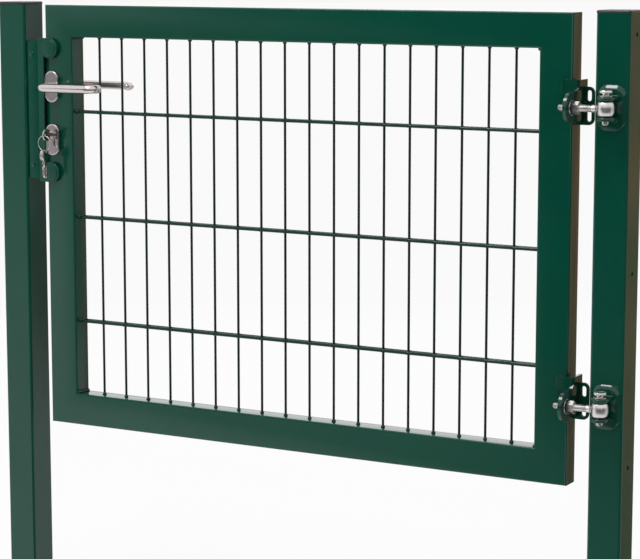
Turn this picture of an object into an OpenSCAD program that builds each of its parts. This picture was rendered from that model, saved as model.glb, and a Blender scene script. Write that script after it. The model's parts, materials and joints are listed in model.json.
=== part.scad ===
// Garden gate: one leaf of welded double-bar mesh in a tube frame, hung between
// two square posts on adjustable eye-bolt hinges, with a lever lock and its keep.
// X runs from the latch post to the hinge post, Y away from the front, Z up.
// The origin is the centre of the hinge post's foot. The leaf opens to the front.

/* [Posts] */
// Width of each square post
post_w = 60; // [50:1:70]
// Wall of each post
post_wall = 3; // [2:0.5:4]
// Length of each post tube; the leaf hangs level with its top
post_h = 1200; // [1150:10:1600]
// Radius of the post tube's long edges
post_edge = 4; // [2:0.5:5]
// Thickness of the plastic cap on a post
cap_t = 5; // [3:0.5:8]
// How far a cap stands out over the post
cap_lip = 0.8; // [0.4:0.1:2]
// Depth of a cap's plug inside the post
cap_plug = 18; // [10:1:30]
// Thread size of the holes for the next fence panel
panel_thread = 8; // [6:1:10]
// Height of the lowest of those holes above the leaf's lower edge
panel_low = 40; // [30:5:80]
// Height of the middle hole above the leaf's lower edge
panel_mid = 370; // [300:10:500]
// Distance of the highest hole below the top of the post
panel_down = 35; // [30:5:80]

/* [Leaf] */
// Width of the leaf over its frame
leaf_w = 1070; // [820:50:1270]
// Height of the leaf over its frame
leaf_h = 800; // [600:200:1000]
// Gap between the leaf and the latch post
latch_gap = 40; // [38:1:60]
// Gap between the leaf and the hinge post
hinge_gap = 44; // [42:1:60]
// Width of the frame tube across the front
frame_w = 60; // [50:1:70]
// Depth of the frame tube
frame_d = 40; // [36:1:50]
// Wall of the frame tube
frame_wall = 2.5; // [2:0.5:3]
// Radius of the frame tube's long edges
frame_edge = 3; // [2:0.5:5]

/* [Mesh] */
// Diameter of the upright wires
upright_d = 5; // [4:0.5:8]
// Diameter of the paired level wires
level_d = 6; // [5:0.5:8]
// Distance between upright wires
upright_pitch = 50; // [50:5:100]
// Distance between pairs of level wires
level_pitch = 200; // [100:50:200]
// Height of the lowest pair above the frame's inner edge
level_first = 140; // [100:10:160]
// How deep crossing wires are welded into each other
weld_depth = 0.3; // [0.1:0.1:0.5]

/* [Hinges] */
// Height of the lower hinge above the leaf's lower edge
hinge_low = 147; // [110:1:200]
// Distance of the upper hinge below the leaf's upper edge
hinge_down = 154; // [110:1:200]
// Distance of the hinge axis in front of the post
axis_out = 28; // [24:1:34]
// Diameter of the hinge bolt
pin_d = 12; // [10:1:12]
// Thickness of a clevis ear
ear_t = 6; // [4:0.5:6.5]
// Width of a clevis ear
ear_w = 30; // [28:1:36]
// Width of the clevis's back plate
back_w = 50; // [44:1:56]
// Height of the clevis's back plate
back_h = 76; // [66:1:90]
// Thickness of that plate
back_t = 5; // [4:0.5:6]
// Diameter of the hinge bolt's flat head and of its washer
head_d = 22; // [18:1:24]
// How far that head stands above the clevis
head_up = 7.5; // [5:0.5:10]
// How far the bolt's end stands out below the clevis
bolt_end = 6.5; // [4:0.5:10]
// Diameter of the eye at the end of the stud
eye_d = 30; // [26:1:31]
// Height of the eye
eye_h = 27; // [20:1:30]
// Diameter of the threaded stud
stud_d = 12; // [10:1:14]
// Length of the stud from the hinge axis to its end
stud_l = 82; // [78:1:90]
// Thickness of the leaf bracket's side plate
side_t = 6; // [4:0.5:7]
// Distance of the side plate from the frame
side_off = 9; // [8:0.5:10]
// Radius of the side plate's round end
tongue_r = 26; // [22:1:28]
// Thickness of the bracket's front flange
flange_t = 4; // [3:0.5:5]
// How far the bracket's rear wing stands out of the stile
wing_out = 33; // [30:1:34]
// Height of the rear wing
wing_h = 64; // [58:1:70]
// Height of the bracket above the stud
bracket_up = 44; // [40:1:60]
// Width of the stud's hexagon nuts across the flats
nut_af = 19; // [17:1:22]
// Thickness of the clamping nut
nut_t = 10; // [8:0.5:11]
// Thickness of the lock nut behind the side plate
lock_nut_t = 6; // [5:0.5:8]
// Diameter of the plastic washer on the stud
washer_d = 25; // [22:1:30]
// Thickness of that washer
washer_t = 4; // [2:0.5:5]

/* [Lock] */
// Height of the lever above the leaf's lower edge
lever_up = 647; // [500:1:660]
// Distance from the lever down to the cylinder
lock_spacing = 100; // [92:1:110]
// Distance of the lever and the cylinder from the leaf's edge
backset = 18; // [18:1:25]
// Width of a rosette
rosette_w = 30; // [28:1:34]
// Height of a rosette
rosette_h = 60; // [56:1:64]
// Thickness of a rosette
rosette_t = 9; // [7:0.5:11]
// Diameter of the lever bar
lever_d = 16; // [14:1:18]
// Length of the lever from its axis to its end
lever_l = 128; // [110:1:140]
// Distance of the lever bar's centre line from the frame
lever_out = 48; // [42:1:60]
// Distance of the turned-in end's tip from the frame
lever_tip = 22; // [18:1:26]
// Centre-line radius of the lever's bends
lever_bend = 15; // [12:1:18]
// Side of the square spindle
spindle_a = 8; // [7:1:9]
// Diameter of the cylinder's plug end
cylinder_d = 17; // [16:0.5:18]
// Width of the cylinder's lower web
cylinder_web = 10; // [9:0.5:11]
// Overall height of the cylinder
cylinder_h = 33; // [30:0.5:34]
// How far the cylinder stands out of a rosette
cylinder_out = 1.5; // [0.5:0.5:4]
// Length of the forend plate on the leaf's edge
forend_h = 235; // [220:1:260]
// Width of the forend plate
forend_w = 24; // [20:1:26]
// Thickness of the forend plate
forend_t = 3; // [2:0.5:4]
// Height of the lock case
case_h = 190; // [175:1:210]
// Depth of the lock case into the frame
case_in = 44; // [36:1:50]
// Thickness of the lock case
case_t = 16; // [14:1:18]
// Thickness of the latch tongue
tongue_t = 12; // [10:1:13]
// Height of the latch tongue
tongue_h = 34; // [28:1:38]
// Thickness of the dead bolt
bolt_t = 10; // [8:1:12]
// Height of the dead bolt
bolt_h = 24; // [20:1:28]

/* [Keep and stop] */
// Height of the keep on the latch post
keep_h = 260; // [240:1:280]
// Distance of the keep's face from the leaf's edge
keep_gap = 8; // [8:0.5:12]
// How far the keep's front stands in front of the leaf
keep_proud = 4; // [2:0.5:8]
// Wall of the keep
keep_wall = 3; // [2:0.5:4]
// Height of the stop plate
stop_h = 272; // [260:1:290]
// Thickness of the stop plate
stop_t = 4; // [3:0.5:5]
// How far the stop plate reaches past the leaf's edge
stop_reach = 12; // [10:0.5:16]
// Radius of the stop plate's lobes
lobe_r = 19; // [16:0.5:22]
// Diameter of the rubber buffer behind a lobe
buffer_d = 30; // [24:1:34]
// Diameter of the screw head in a lobe
lobe_screw_d = 30; // [24:1:32]
// Diameter of the keep's screw heads
keep_screw_d = 10; // [8:1:12]

/* [Keys] */
// Diameter of a key's bow
bow_d = 24; // [20:1:26]
// Thickness of a key
key_t = 2.2; // [2:0.1:3]
// Height of a key's blade
blade_h = 8; // [7:0.5:9]
// Length of a key's blade
blade_l = 28; // [24:1:30]
// Diameter of the key ring's centre line
ring_d = 28; // [24:1:32]
// Diameter of the ring's wire
ring_wire = 2; // [1.6:0.1:2.4]

/* [Hidden] */

// Colours
green = "#0f4a38";
steel = "#b9bab8";
zinc = "#c9cac8";
black = "#161616";

// Number of sides on round pieces, and on the mesh's wires
round_fn = 48;
wire_fn = 8;
// How far a cutting shape runs past what it cuts
past = 1;
// Radial clearance of a shaft that turns in its bore
run_clear = 0.05;
// Clearance of a part that slides or passes through another
pass_clear = 0.3;
// Radial clearance of a bolt or stud in a plain hole
hole_clear = 0.3;

// Places of the leaf
leaf_right = -(post_w / 2 + hinge_gap);
leaf_left = leaf_right - leaf_w;
leaf_top = post_h;
leaf_bottom = leaf_top - leaf_h;
leaf_front = -frame_d / 2;
latch_x = leaf_left - latch_gap - post_w / 2;
post_front = -post_w / 2;
open_w = leaf_w - 2 * frame_w;
open_h = leaf_h - 2 * frame_w;

// Places of the hinges
axis_y = post_front - axis_out;
hinge_heights = [leaf_bottom + hinge_low, leaf_top - hinge_down];
side_x = leaf_right + side_off;
clevis_gap = eye_h + 2 * pass_clear;
head_t = 5;
bolt_washer_t = 2;
back_edge = 18;
// Flat head of a screw in the keep or in a lobe
screw_head_t = 1.5;
// Bracket: reach of the flange on the frame's face, its slope, how far the folded
// corner stands in front of it, the corner's radius, and where the side plate ends
flange_w = 18;
flange_slope = 8;
fold = 8;
corner_r = 16;
side_rear = 10;
// Wing: radius of its corners, and its slots by width, height, distance from its
// edge and distance from the stud's height
wing_edge = 10;
slot_w = 8;
slot_h = 18;
slot_in = 9;
slot_up = 17;

// Places of the lock
lever_z = leaf_bottom + lever_up;
cylinder_z = lever_z - lock_spacing;
lock_x = leaf_left + backset;
plug_up = (cylinder_h - cylinder_d) / 2 + 2;
plug_z = cylinder_z + plug_up;
rosette_front = leaf_front - rosette_t;
cylinder_half = frame_d / 2 + rosette_t + cylinder_out;
case_z = (lever_z + cylinder_z) / 2 - 5;
latch_z = lever_z - 30;
bolt_z = cylinder_z + 25;
pocket = 9;
tongue_out = 1;
bolt_out = 0.5;

// Places of the keep and the stop plate
keep_right = leaf_left - keep_gap;
keep_left = latch_x + post_w / 2;
keep_front = leaf_front - keep_proud;
keep_rear = frame_d / 2 + keep_proud;
keep_z = lever_z - 45;
stop_back = keep_front - pass_clear;
lobe_x = leaf_left + lobe_r - 6;
slot_clear = 3;
keep_screw_in = 25;
lobe_heights = [keep_z - stop_h / 2 + lobe_r, keep_z + stop_h / 2 - lobe_r];

// Places of the keys
bow_hole_d = ring_wire + 2.4;
bow_hole_in = bow_hole_d / 2 + 1.8;
bow_neck = 3;
cylinder_face = -cylinder_half;
bow_y = cylinder_face - bow_neck - bow_d / 2;
ring_hole_y = bow_y - bow_d / 2 + bow_hole_in;
ring_z = plug_z - ring_d / 2 - (bow_hole_d - ring_wire) / 2 + pass_clear;
spare_hole_z = ring_z - ring_d / 2 - (bow_hole_d - ring_wire) / 2 + pass_clear;

// ---------------------------------------------------------------- shared shapes

// Rectangle w by d about the origin, with corners of radius r
module rounded_rect(w, d, r) {
    square([w - 2 * r, d], center = true);
    square([w, d - 2 * r], center = true);
    for (x = [-1, 1], y = [-1, 1])
        translate([x * (w / 2 - r), y * (d / 2 - r)]) circle(r, $fn = round_fn);
}

// Upright rectangular tube on the XY plane, its edges rounded inside and out
module tube(w, d, wall, edge, height) {
    linear_extrude(height)
        difference() {
            rounded_rect(w, d, edge);
            rounded_rect(w - 2 * wall, d - 2 * wall, max(edge - wall, 0.5));
        }
}

// Cylinder along Y from y0 to y1
module rod_y(d, y0, y1) {
    translate([0, y1, 0]) rotate([90, 0, 0]) cylinder(d = d, h = y1 - y0, $fn = round_fn);
}

// Cylinder along X from x0 to x1
module rod_x(d, x0, x1) {
    translate([x0, 0, 0]) rotate([0, 90, 0]) cylinder(d = d, h = x1 - x0, $fn = round_fn);
}

// Hexagon prism along Z with the given width across flats
module hexagon(af, h) {
    cylinder(d = af / cos(30), h = h, $fn = 6);
}

// Flat shape drawn in X and Z, made solid from y0 to y1
module plate_y(y0, y1) {
    translate([0, y1, 0]) rotate([90, 0, 0]) linear_extrude(y1 - y0) children();
}

// Flat shape drawn in Y and Z, made solid from x0 to x1
module plate_x(x0, x1) {
    translate([x0, 0, 0]) rotate([90, 0, 90]) linear_extrude(x1 - x0) children();
}

// Upright oval of width w and height h
module oval(w, h) {
    square([w, h - w], center = true);
    for (z = [-1, 1]) translate([0, z * (h - w) / 2]) circle(d = w, $fn = round_fn);
}

// Outline of the lock cylinder about its plug's axis, grown by clear
module cylinder_outline(clear = 0) {
    circle(d = cylinder_d + 2 * clear, $fn = round_fn);
    drop = cylinder_h - cylinder_d / 2 - cylinder_web / 2;
    translate([-cylinder_web / 2 - clear, -drop]) square([cylinder_web + 2 * clear, drop]);
    translate([0, -drop]) circle(d = cylinder_web + 2 * clear, $fn = round_fn);
}

// ---------------------------------------------------------------- posts

// Post on the ground at x, with threaded holes in the face on side (1 or -1)
module post(x, side) {
    color(green)
    difference() {
        translate([x, 0, 0]) tube(post_w, post_w, post_wall, post_edge, post_h);
        for (z = [leaf_bottom + panel_low, leaf_bottom + panel_mid, post_h - panel_down])
            translate([x, 0, z])
                rod_x(panel_thread, min(side * past, side * (post_w / 2 + past)),
                      max(side * past, side * (post_w / 2 + past)));
    }
}

// Cap with a flat top and a plug that fits inside the post
module post_cap(x) {
    plug_w = post_w - 2 * post_wall - 2 * pass_clear;
    color(black)
    translate([x, 0, post_h]) {
        linear_extrude(cap_t * 0.6)
            rounded_rect(post_w + 2 * cap_lip, post_w + 2 * cap_lip, post_edge + cap_lip);
        translate([0, 0, cap_t * 0.6]) linear_extrude(cap_t * 0.4)
            rounded_rect(post_w - cap_lip, post_w - cap_lip, post_edge);
        translate([0, 0, -cap_plug]) linear_extrude(cap_plug)
            rounded_rect(plug_w, plug_w, post_edge - pass_clear);
    }
}

module hinge_post() post(0, 1);
module latch_post() post(latch_x, -1);
module hinge_post_cap() post_cap(0);
module latch_post_cap() post_cap(latch_x);

// ---------------------------------------------------------------- leaf frame

// Tube along Z with its outer side on the plane X = 0, cut to a mitre at both ends
module mitred_tube(length) {
    intersection() {
        translate([frame_w / 2, 0, 0]) tube(frame_w, frame_d, frame_wall, frame_edge, length);
        plate_y(-frame_d, frame_d)
            polygon([[0, 0], [frame_w, frame_w], [frame_w, length - frame_w], [0, length]]);
    }
}

module frame_latch_stile() {
    color(green)
    difference() {
        translate([leaf_left, 0, leaf_bottom]) mitred_tube(leaf_h);
        // opening for the lock case in the leaf's edge
        translate([leaf_left - past, -case_t / 2 - pass_clear, case_z - case_h / 2 - pass_clear])
            cube([frame_wall + frame_edge, case_t + 2 * pass_clear, case_h + 2 * pass_clear]);
        // holes for the levers' necks and the cylinder, through both faces
        translate([lock_x, 0, lever_z]) rod_y(lever_d + 2, -frame_d, frame_d);
        translate([lock_x, 0, plug_z]) plate_y(-frame_d, frame_d) cylinder_outline(pass_clear);
    }
}

module frame_hinge_stile() {
    color(green)
    translate([leaf_right, 0, leaf_bottom]) mirror([1, 0, 0]) mitred_tube(leaf_h);
}

module frame_bottom_rail() {
    color(green)
    translate([leaf_left, 0, leaf_bottom]) mirror([1, 0, 0]) rotate([0, -90, 0])
        mitred_tube(leaf_w);
}

module frame_top_rail() {
    color(green)
    translate([leaf_left, 0, leaf_top]) rotate([0, 90, 0]) mitred_tube(leaf_w);
}

// ---------------------------------------------------------------- mesh

// Wires with flat sides to the front, fused where they cross
module mesh_panel() {
    inner_left = leaf_left + frame_w;
    inner_bottom = leaf_bottom + frame_w;
    uprights = floor((open_w - 1) / upright_pitch);
    first = (open_w - (uprights - 1) * upright_pitch) / 2;
    pairs = floor((open_h - level_first - 1) / level_pitch) + 1;
    level_y = (upright_d + level_d) / 2 - weld_depth;
    turn = 180 / wire_fn;
    color(green)
    union() {
        for (i = [0 : uprights - 1])
            translate([inner_left + first + i * upright_pitch, 0, inner_bottom])
                rotate([0, 0, turn])
                    cylinder(d = upright_d / cos(turn), h = open_h, $fn = wire_fn);
        for (i = [0 : pairs - 1], side = [-1, 1])
            translate([inner_left, side * level_y, inner_bottom + level_first + i * level_pitch])
                rotate([0, 90, 0]) rotate([0, 0, turn])
                    cylinder(d = level_d / cos(turn), h = open_w, $fn = wire_fn);
    }
}

// ---------------------------------------------------------------- hinges

// Fork on the front of the hinge post: two ears on a back plate, with a bored pin hole
module clevis(z) {
    half = clevis_gap / 2 + ear_t;
    color(green)
    translate([0, axis_y, z])
    difference() {
        union() {
            for (foot = [-half, half - ear_t])
                translate([0, 0, foot]) {
                    cylinder(d = ear_w, h = ear_t, $fn = round_fn);
                    translate([-ear_w / 2, 0, 0]) cube([ear_w, axis_out - back_t / 2, ear_t]);
                }
            plate_y(axis_out - back_t, axis_out) rounded_rect(back_w, back_h, back_edge);
        }
        translate([0, 0, -half - past])
            cylinder(d = pin_d + 2 * run_clear, h = 2 * half + 2 * past, $fn = round_fn);
    }
}

// Bolt down through the ears and the eye. A washer lies on the upper ear, and a
// flat round head stands above it on the bolt's neck.
module hinge_bolt(z) {
    half = clevis_gap / 2 + ear_t;
    color(zinc)
    translate([0, axis_y, z]) {
        translate([0, 0, -half - bolt_end])
            cylinder(d = pin_d, h = 2 * half + bolt_end + head_up, $fn = round_fn);
        translate([0, 0, half]) cylinder(d = head_d, h = bolt_washer_t, $fn = round_fn);
        translate([0, 0, half + head_up]) cylinder(d = head_d, h = head_t, $fn = round_fn);
    }
}

// Stud with a rounded eye that turns on the hinge bolt
module eye_bolt(z) {
    color(zinc)
    translate([0, axis_y, z])
    difference() {
        union() {
            intersection() {
                sphere(d = eye_d + 6, $fn = round_fn);
                cylinder(d = eye_d, h = eye_h, center = true, $fn = round_fn);
            }
            rod_x(stud_d, -stud_l, -eye_d / 4);
        }
        cylinder(d = pin_d + 2 * run_clear, h = eye_h + 2 * past, center = true, $fn = round_fn);
    }
}

// Outline of the bracket's side plate in Y and Z about the stud's axis
module side_outline() {
    rear = side_rear - axis_y;
    front = leaf_front - flange_t - fold + corner_r - axis_y;
    circle(tongue_r, $fn = round_fn);
    translate([0, -tongue_r]) square([rear, 2 * tongue_r]);
    polygon([[front, 0], [rear, 0], [rear, bracket_up], [front, bracket_up],
             [front, tongue_r + fold], [front - fold, tongue_r], [0, tongue_r], [0, 0]]);
}

// Points of an arc of radius r about (x, y), from angle a0 to a1
function arc(x, y, r, a0, a1) =
    [for (i = [0 : 6]) let (a = a0 + (a1 - a0) * i / 6) [x + r * cos(a), y + r * sin(a)]];

// Pressed bracket round the stile's front corner: a front flange, a bulged round
// corner, a side plate that carries the stud, and a wing with two slots behind it
module leaf_bracket(z) {
    outer = side_x + side_t;
    low = tongue_r - fold;
    arc_x = outer - corner_r;
    arc_y = corner_r - flange_t - fold;
    color(green)
    difference() {
        union() {
            // side plate
            translate([0, axis_y, z]) plate_x(side_x, outer) side_outline();
            // front flange and round corner above the tongue
            translate([0, leaf_front, z + low]) linear_extrude(bracket_up - low)
                polygon(concat(
                    [[leaf_right + 1 - flange_slope, 0],
                     [leaf_right - flange_w, 0],
                     [leaf_right - flange_w, -flange_t],
                     [leaf_right - flange_slope - 1, -flange_t]],
                    arc(arc_x, arc_y, corner_r, -90, 0),
                    arc(arc_x, arc_y, corner_r - side_t, 0, -90)));
            // rear wing, welded to the stile's side
            translate([leaf_right, 0, z]) plate_y(-flange_t, 0)
                difference() {
                    intersection() {
                        rounded_rect(2 * wing_out, wing_h, wing_edge);
                        translate([0, -wing_h]) square([wing_out, 2 * wing_h]);
                    }
                    for (side = [-1, 1])
                        translate([wing_out - slot_in, side * slot_up]) oval(slot_w, slot_h);
                }
        }
        translate([0, axis_y, z])
            rod_x(stud_d + 2 * hole_clear, side_x - past, outer + past);
    }
}

// Hexagon nut on the stud from x0, with its bore
module stud_nut(x0, t) {
    difference() {
        translate([x0, 0, 0]) rotate([0, 90, 0]) hexagon(nut_af, t);
        rod_x(stud_d + 2 * run_clear, x0 - past, x0 + t + past);
    }
}

module upper_clevis() clevis(hinge_heights[1]);
module lower_clevis() clevis(hinge_heights[0]);
module upper_hinge_bolt() hinge_bolt(hinge_heights[1]);
module lower_hinge_bolt() hinge_bolt(hinge_heights[0]);
module upper_eye_bolt() eye_bolt(hinge_heights[1]);
module lower_eye_bolt() eye_bolt(hinge_heights[0]);
module upper_leaf_bracket() leaf_bracket(hinge_heights[1]);
module lower_leaf_bracket() leaf_bracket(hinge_heights[0]);

module clamping_nuts() {
    color(zinc)
    for (z = hinge_heights) translate([0, axis_y, z]) stud_nut(side_x + side_t + washer_t, nut_t);
}

module lock_nuts() {
    color(zinc)
    for (z = hinge_heights) translate([0, axis_y, z]) stud_nut(side_x - lock_nut_t, lock_nut_t);
}

module stud_washers() {
    color(black)
    for (z = hinge_heights) translate([0, axis_y, z])
        difference() {
            rod_x(washer_d, side_x + side_t, side_x + side_t + washer_t);
            rod_x(stud_d + 2 * run_clear, side_x, side_x + side_t + washer_t + past);
        }
}

// ---------------------------------------------------------------- keep and stop

// Block of thickness t and height h at height z, grown by clear, reaching deep along X
module latch_block(t, h, z, clear, deep) {
    translate([0, -t / 2 - clear, z - h / 2 - clear])
        cube([deep, t + 2 * clear, h + 2 * clear]);
}

// Folded box on the latch post, with a slot for the tongue and one for the bolt
module keep_box() {
    depth = keep_rear - keep_front;
    color(green)
    difference() {
        translate([keep_left, keep_front, keep_z - keep_h / 2])
            cube([keep_right - keep_left, depth, keep_h]);
        translate([keep_left + keep_wall, keep_front + keep_wall, keep_z - keep_h / 2 + keep_wall])
            cube([keep_right - keep_left - 2 * keep_wall, depth - 2 * keep_wall, keep_h - 2 * keep_wall]);
        translate([keep_right - keep_wall - past, 0, 0]) {
            latch_block(tongue_t, tongue_h, latch_z, slot_clear, keep_wall + 2 * past);
            latch_block(bolt_t, bolt_h, bolt_z, slot_clear, keep_wall + 2 * past);
        }
    }
}

// Flat round screw heads on the keep's front
module keep_screws() {
    color(green)
    for (z = [keep_z - keep_h / 2 + keep_screw_in, keep_z + keep_h / 2 - keep_screw_in])
        translate([keep_left + keep_screw_d, 0, z])
            rod_y(keep_screw_d, keep_front - screw_head_t, keep_front);
}

// Flat plate on the leaf with two round lobes over the stile. Its strip closes
// against the front of the keep.
module stop_plate() {
    strip_right = leaf_left + 1;
    color(green)
    plate_y(stop_back - stop_t, stop_back)
        union() {
            translate([leaf_left - stop_reach, keep_z - stop_h / 2])
                square([strip_right - leaf_left + stop_reach, stop_h]);
            for (z = lobe_heights) {
                translate([lobe_x, z]) circle(lobe_r, $fn = round_fn);
                translate([leaf_left, z - lobe_r]) square([lobe_x - leaf_left, 2 * lobe_r]);
            }
        }
}

module stop_buffers() {
    color(black)
    for (z = lobe_heights)
        translate([leaf_left + buffer_d / 2, 0, z]) rod_y(buffer_d, stop_back, leaf_front);
}

module stop_screws() {
    color(green)
    for (z = lobe_heights)
        translate([lobe_x, 0, z])
            rod_y(lobe_screw_d, stop_back - stop_t - screw_head_t, stop_back - stop_t);
}

// ---------------------------------------------------------------- lock

// Plate on the leaf's edge, with holes for the tongue and the bolt
module lock_forend() {
    color(steel)
    difference() {
        translate([leaf_left - forend_t, 0, case_z]) plate_x(0, forend_t) oval(forend_w, forend_h);
        translate([leaf_left - forend_t - past, 0, 0]) {
            latch_block(tongue_t, tongue_h, latch_z, pass_clear, forend_t + 2 * past);
            latch_block(bolt_t, bolt_h, bolt_z, pass_clear, forend_t + 2 * past);
        }
    }
}

// Case in the stile, open where the spindle, the cylinder, the tongue and the bolt go
module lock_case() {
    color(steel)
    difference() {
        translate([leaf_left, -case_t / 2, case_z - case_h / 2]) cube([case_in, case_t, case_h]);
        translate([lock_x, 0, lever_z]) rod_y(spindle_a * 1.6, -frame_d, frame_d);
        translate([lock_x, 0, plug_z]) plate_y(-frame_d, frame_d) cylinder_outline(pass_clear);
        translate([leaf_left - past, 0, 0]) {
            latch_block(tongue_t, tongue_h, latch_z, pass_clear, pocket + past);
            latch_block(bolt_t, bolt_h, bolt_z, pass_clear, pocket + past);
        }
    }
}

// Tongue, drawn back until it stands just proud of the forend
module latch_tongue() {
    color(steel)
    translate([leaf_left - forend_t - tongue_out, 0, 0])
        latch_block(tongue_t, tongue_h, latch_z, 0, tongue_out + forend_t + pocket);
}

// Dead bolt, unlocked
module dead_bolt() {
    color(steel)
    translate([leaf_left - forend_t - bolt_out, 0, 0])
        latch_block(bolt_t, bolt_h, bolt_z, 0, bolt_out + forend_t + pocket);
}

// Oval cover on the front (side -1) or the rear (side 1) face, cut by its children
module rosette(side, z) {
    face = side * frame_d / 2;
    rim = 1;
    color(steel)
    difference() {
        translate([lock_x, 0, z]) {
            plate_y(min(face, face + side * (rosette_t - rim)), max(face, face + side * (rosette_t - rim)))
                oval(rosette_w, rosette_h);
            plate_y(min(face + side * (rosette_t - rim), face + side * rosette_t),
                    max(face + side * (rosette_t - rim), face + side * rosette_t))
                oval(rosette_w - 2 * rim, rosette_h - 2 * rim);
        }
        children();
    }
}

module lever_hole()
    translate([lock_x, 0, lever_z])
        rod_y(lever_d + 2 * run_clear, -cylinder_half - past, cylinder_half + past);

module cylinder_hole()
    translate([lock_x, 0, plug_z])
        plate_y(-cylinder_half - past, cylinder_half + past) cylinder_outline(pass_clear);

module front_lever_rosette() rosette(-1, lever_z) lever_hole();
module rear_lever_rosette() rosette(1, lever_z) lever_hole();
module front_cylinder_rosette() rosette(-1, cylinder_z) cylinder_hole();
module rear_cylinder_rosette() rosette(1, cylinder_z) cylinder_hole();

// Profile cylinder through the leaf, with the keyway in its front end
module lock_cylinder() {
    color(steel)
    translate([lock_x, 0, plug_z])
    difference() {
        plate_y(-cylinder_half, cylinder_half) cylinder_outline();
        translate([-key_t / 2 - pass_clear, -cylinder_half - past, -blade_h / 2 - pass_clear])
            cube([key_t + 2 * pass_clear, blade_l + past + pass_clear, blade_h + 2 * pass_clear]);
    }
}

// Round bar bent out, along and back in, on the leaf's front face
module lever_bar() {
    out_y = leaf_front - lever_out;
    end_x = lever_l - lever_d / 2;
    translate([lock_x, 0, lever_z]) {
        rod_y(lever_d, out_y + lever_bend, leaf_front - past);
        translate([lever_bend, out_y + lever_bend, 0]) rotate([0, 0, 180])
            rotate_extrude(angle = 90, $fn = round_fn)
                translate([lever_bend, 0]) circle(d = lever_d, $fn = round_fn);
        translate([0, out_y, 0]) rod_x(lever_d, lever_bend, end_x - lever_bend);
        translate([end_x - lever_bend, out_y + lever_bend, 0]) rotate([0, 0, -90])
            rotate_extrude(angle = 90, $fn = round_fn)
                translate([lever_bend, 0]) circle(d = lever_d, $fn = round_fn);
        translate([end_x, 0, 0])
            rod_y(lever_d, out_y + lever_bend, leaf_front - lever_tip);
    }
}

module front_lever() color(steel) lever_bar();
module rear_lever() color(steel) mirror([0, 1, 0]) lever_bar();

// Square bar that joins the two levers
module lever_spindle() {
    reach = frame_d / 2 + past;
    color(zinc)
    translate([lock_x - spindle_a / 2, -reach, lever_z - spindle_a / 2])
        cube([spindle_a, 2 * reach, spindle_a]);
}

// ---------------------------------------------------------------- keys

// Key flat in the YZ plane: bow centre at the origin, blade along +Y, ring hole at -Y
module key_shape() {
    difference() {
        union() {
            rod_x(bow_d, -key_t / 2, key_t / 2);
            translate([-key_t / 2, 0, -blade_h / 2])
                cube([key_t, bow_d / 2 + bow_neck + blade_l, blade_h]);
        }
        translate([0, -bow_d / 2 + bow_hole_in, 0]) rod_x(bow_hole_d, -key_t, key_t);
    }
}

module key() {
    color(steel) translate([lock_x, bow_y, plug_z]) key_shape();
}

module key_ring() {
    color(zinc)
    translate([lock_x, ring_hole_y, ring_z]) rotate([90, 0, 0])
        rotate_extrude($fn = round_fn)
            translate([ring_d / 2, 0]) circle(d = ring_wire, $fn = 24);
}

// Two keys that hang side by side from the ring
module spare_keys() {
    apart = key_t / 2 + 0.4;
    color(steel)
    for (side = [-1, 1])
        translate([lock_x + side * apart, ring_hole_y, spare_hole_z - bow_d / 2 + bow_hole_in])
            rotate([-90, 0, 0]) key_shape();
}

// ---------------------------------------------------------------- nodes

hinge_post();
hinge_post_cap();
latch_post();
latch_post_cap();
keep_box();
keep_screws();
upper_clevis();
lower_clevis();
upper_hinge_bolt();
lower_hinge_bolt();
frame_top_rail();
frame_bottom_rail();
frame_latch_stile();
frame_hinge_stile();
mesh_panel();
upper_leaf_bracket();
lower_leaf_bracket();
upper_eye_bolt();
lower_eye_bolt();
clamping_nuts();
lock_nuts();
stud_washers();
stop_plate();
stop_buffers();
stop_screws();
lock_forend();
lock_case();
latch_tongue();
dead_bolt();
front_lever_rosette();
rear_lever_rosette();
front_cylinder_rosette();
rear_cylinder_rosette();
lock_cylinder();
key();
front_lever();
rear_lever();
lever_spindle();
key_ring();
spare_keys();
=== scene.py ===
# %% [markdown]
# # A welded mesh garden gate
# The gate arrives as a set of exact solids, and this lesson dresses them. Most
# of what the eye reads as a real gate is small: rounded tube edges that catch a
# line of light, weld beads, threads, a forged eye, and paint that mirrors the
# fittings in front of it. Each step below makes one of those, as a surface
# worked out with numpy, and says why it was made that way.

# %% Load the solids
import json
import math

import bmesh
import bpy
import numpy as np
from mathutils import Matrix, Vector
from mathutils.geometry import tessellate_polygon


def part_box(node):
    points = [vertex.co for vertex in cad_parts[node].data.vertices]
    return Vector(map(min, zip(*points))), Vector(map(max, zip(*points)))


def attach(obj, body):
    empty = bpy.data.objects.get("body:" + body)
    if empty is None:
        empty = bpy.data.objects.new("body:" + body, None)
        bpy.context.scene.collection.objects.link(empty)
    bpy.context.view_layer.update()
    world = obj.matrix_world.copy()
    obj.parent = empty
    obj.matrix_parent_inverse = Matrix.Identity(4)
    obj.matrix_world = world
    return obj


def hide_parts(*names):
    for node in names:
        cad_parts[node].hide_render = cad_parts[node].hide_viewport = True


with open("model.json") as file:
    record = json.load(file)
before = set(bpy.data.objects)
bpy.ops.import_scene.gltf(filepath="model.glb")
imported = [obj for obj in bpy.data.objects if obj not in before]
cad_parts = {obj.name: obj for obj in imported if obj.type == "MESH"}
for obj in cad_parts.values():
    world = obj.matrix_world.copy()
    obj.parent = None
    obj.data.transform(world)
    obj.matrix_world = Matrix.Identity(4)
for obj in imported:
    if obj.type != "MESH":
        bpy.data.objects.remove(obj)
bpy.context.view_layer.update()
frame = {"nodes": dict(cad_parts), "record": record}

# %% [markdown]
# ## Camera
# A long lens far away keeps the uprights nearly parallel. The camera stands to
# the right of the gate and a little above it, so one sees the front, the right
# side of each tube and the top of the lower rail. It is set first, because
# every later choice is judged through it.

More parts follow.
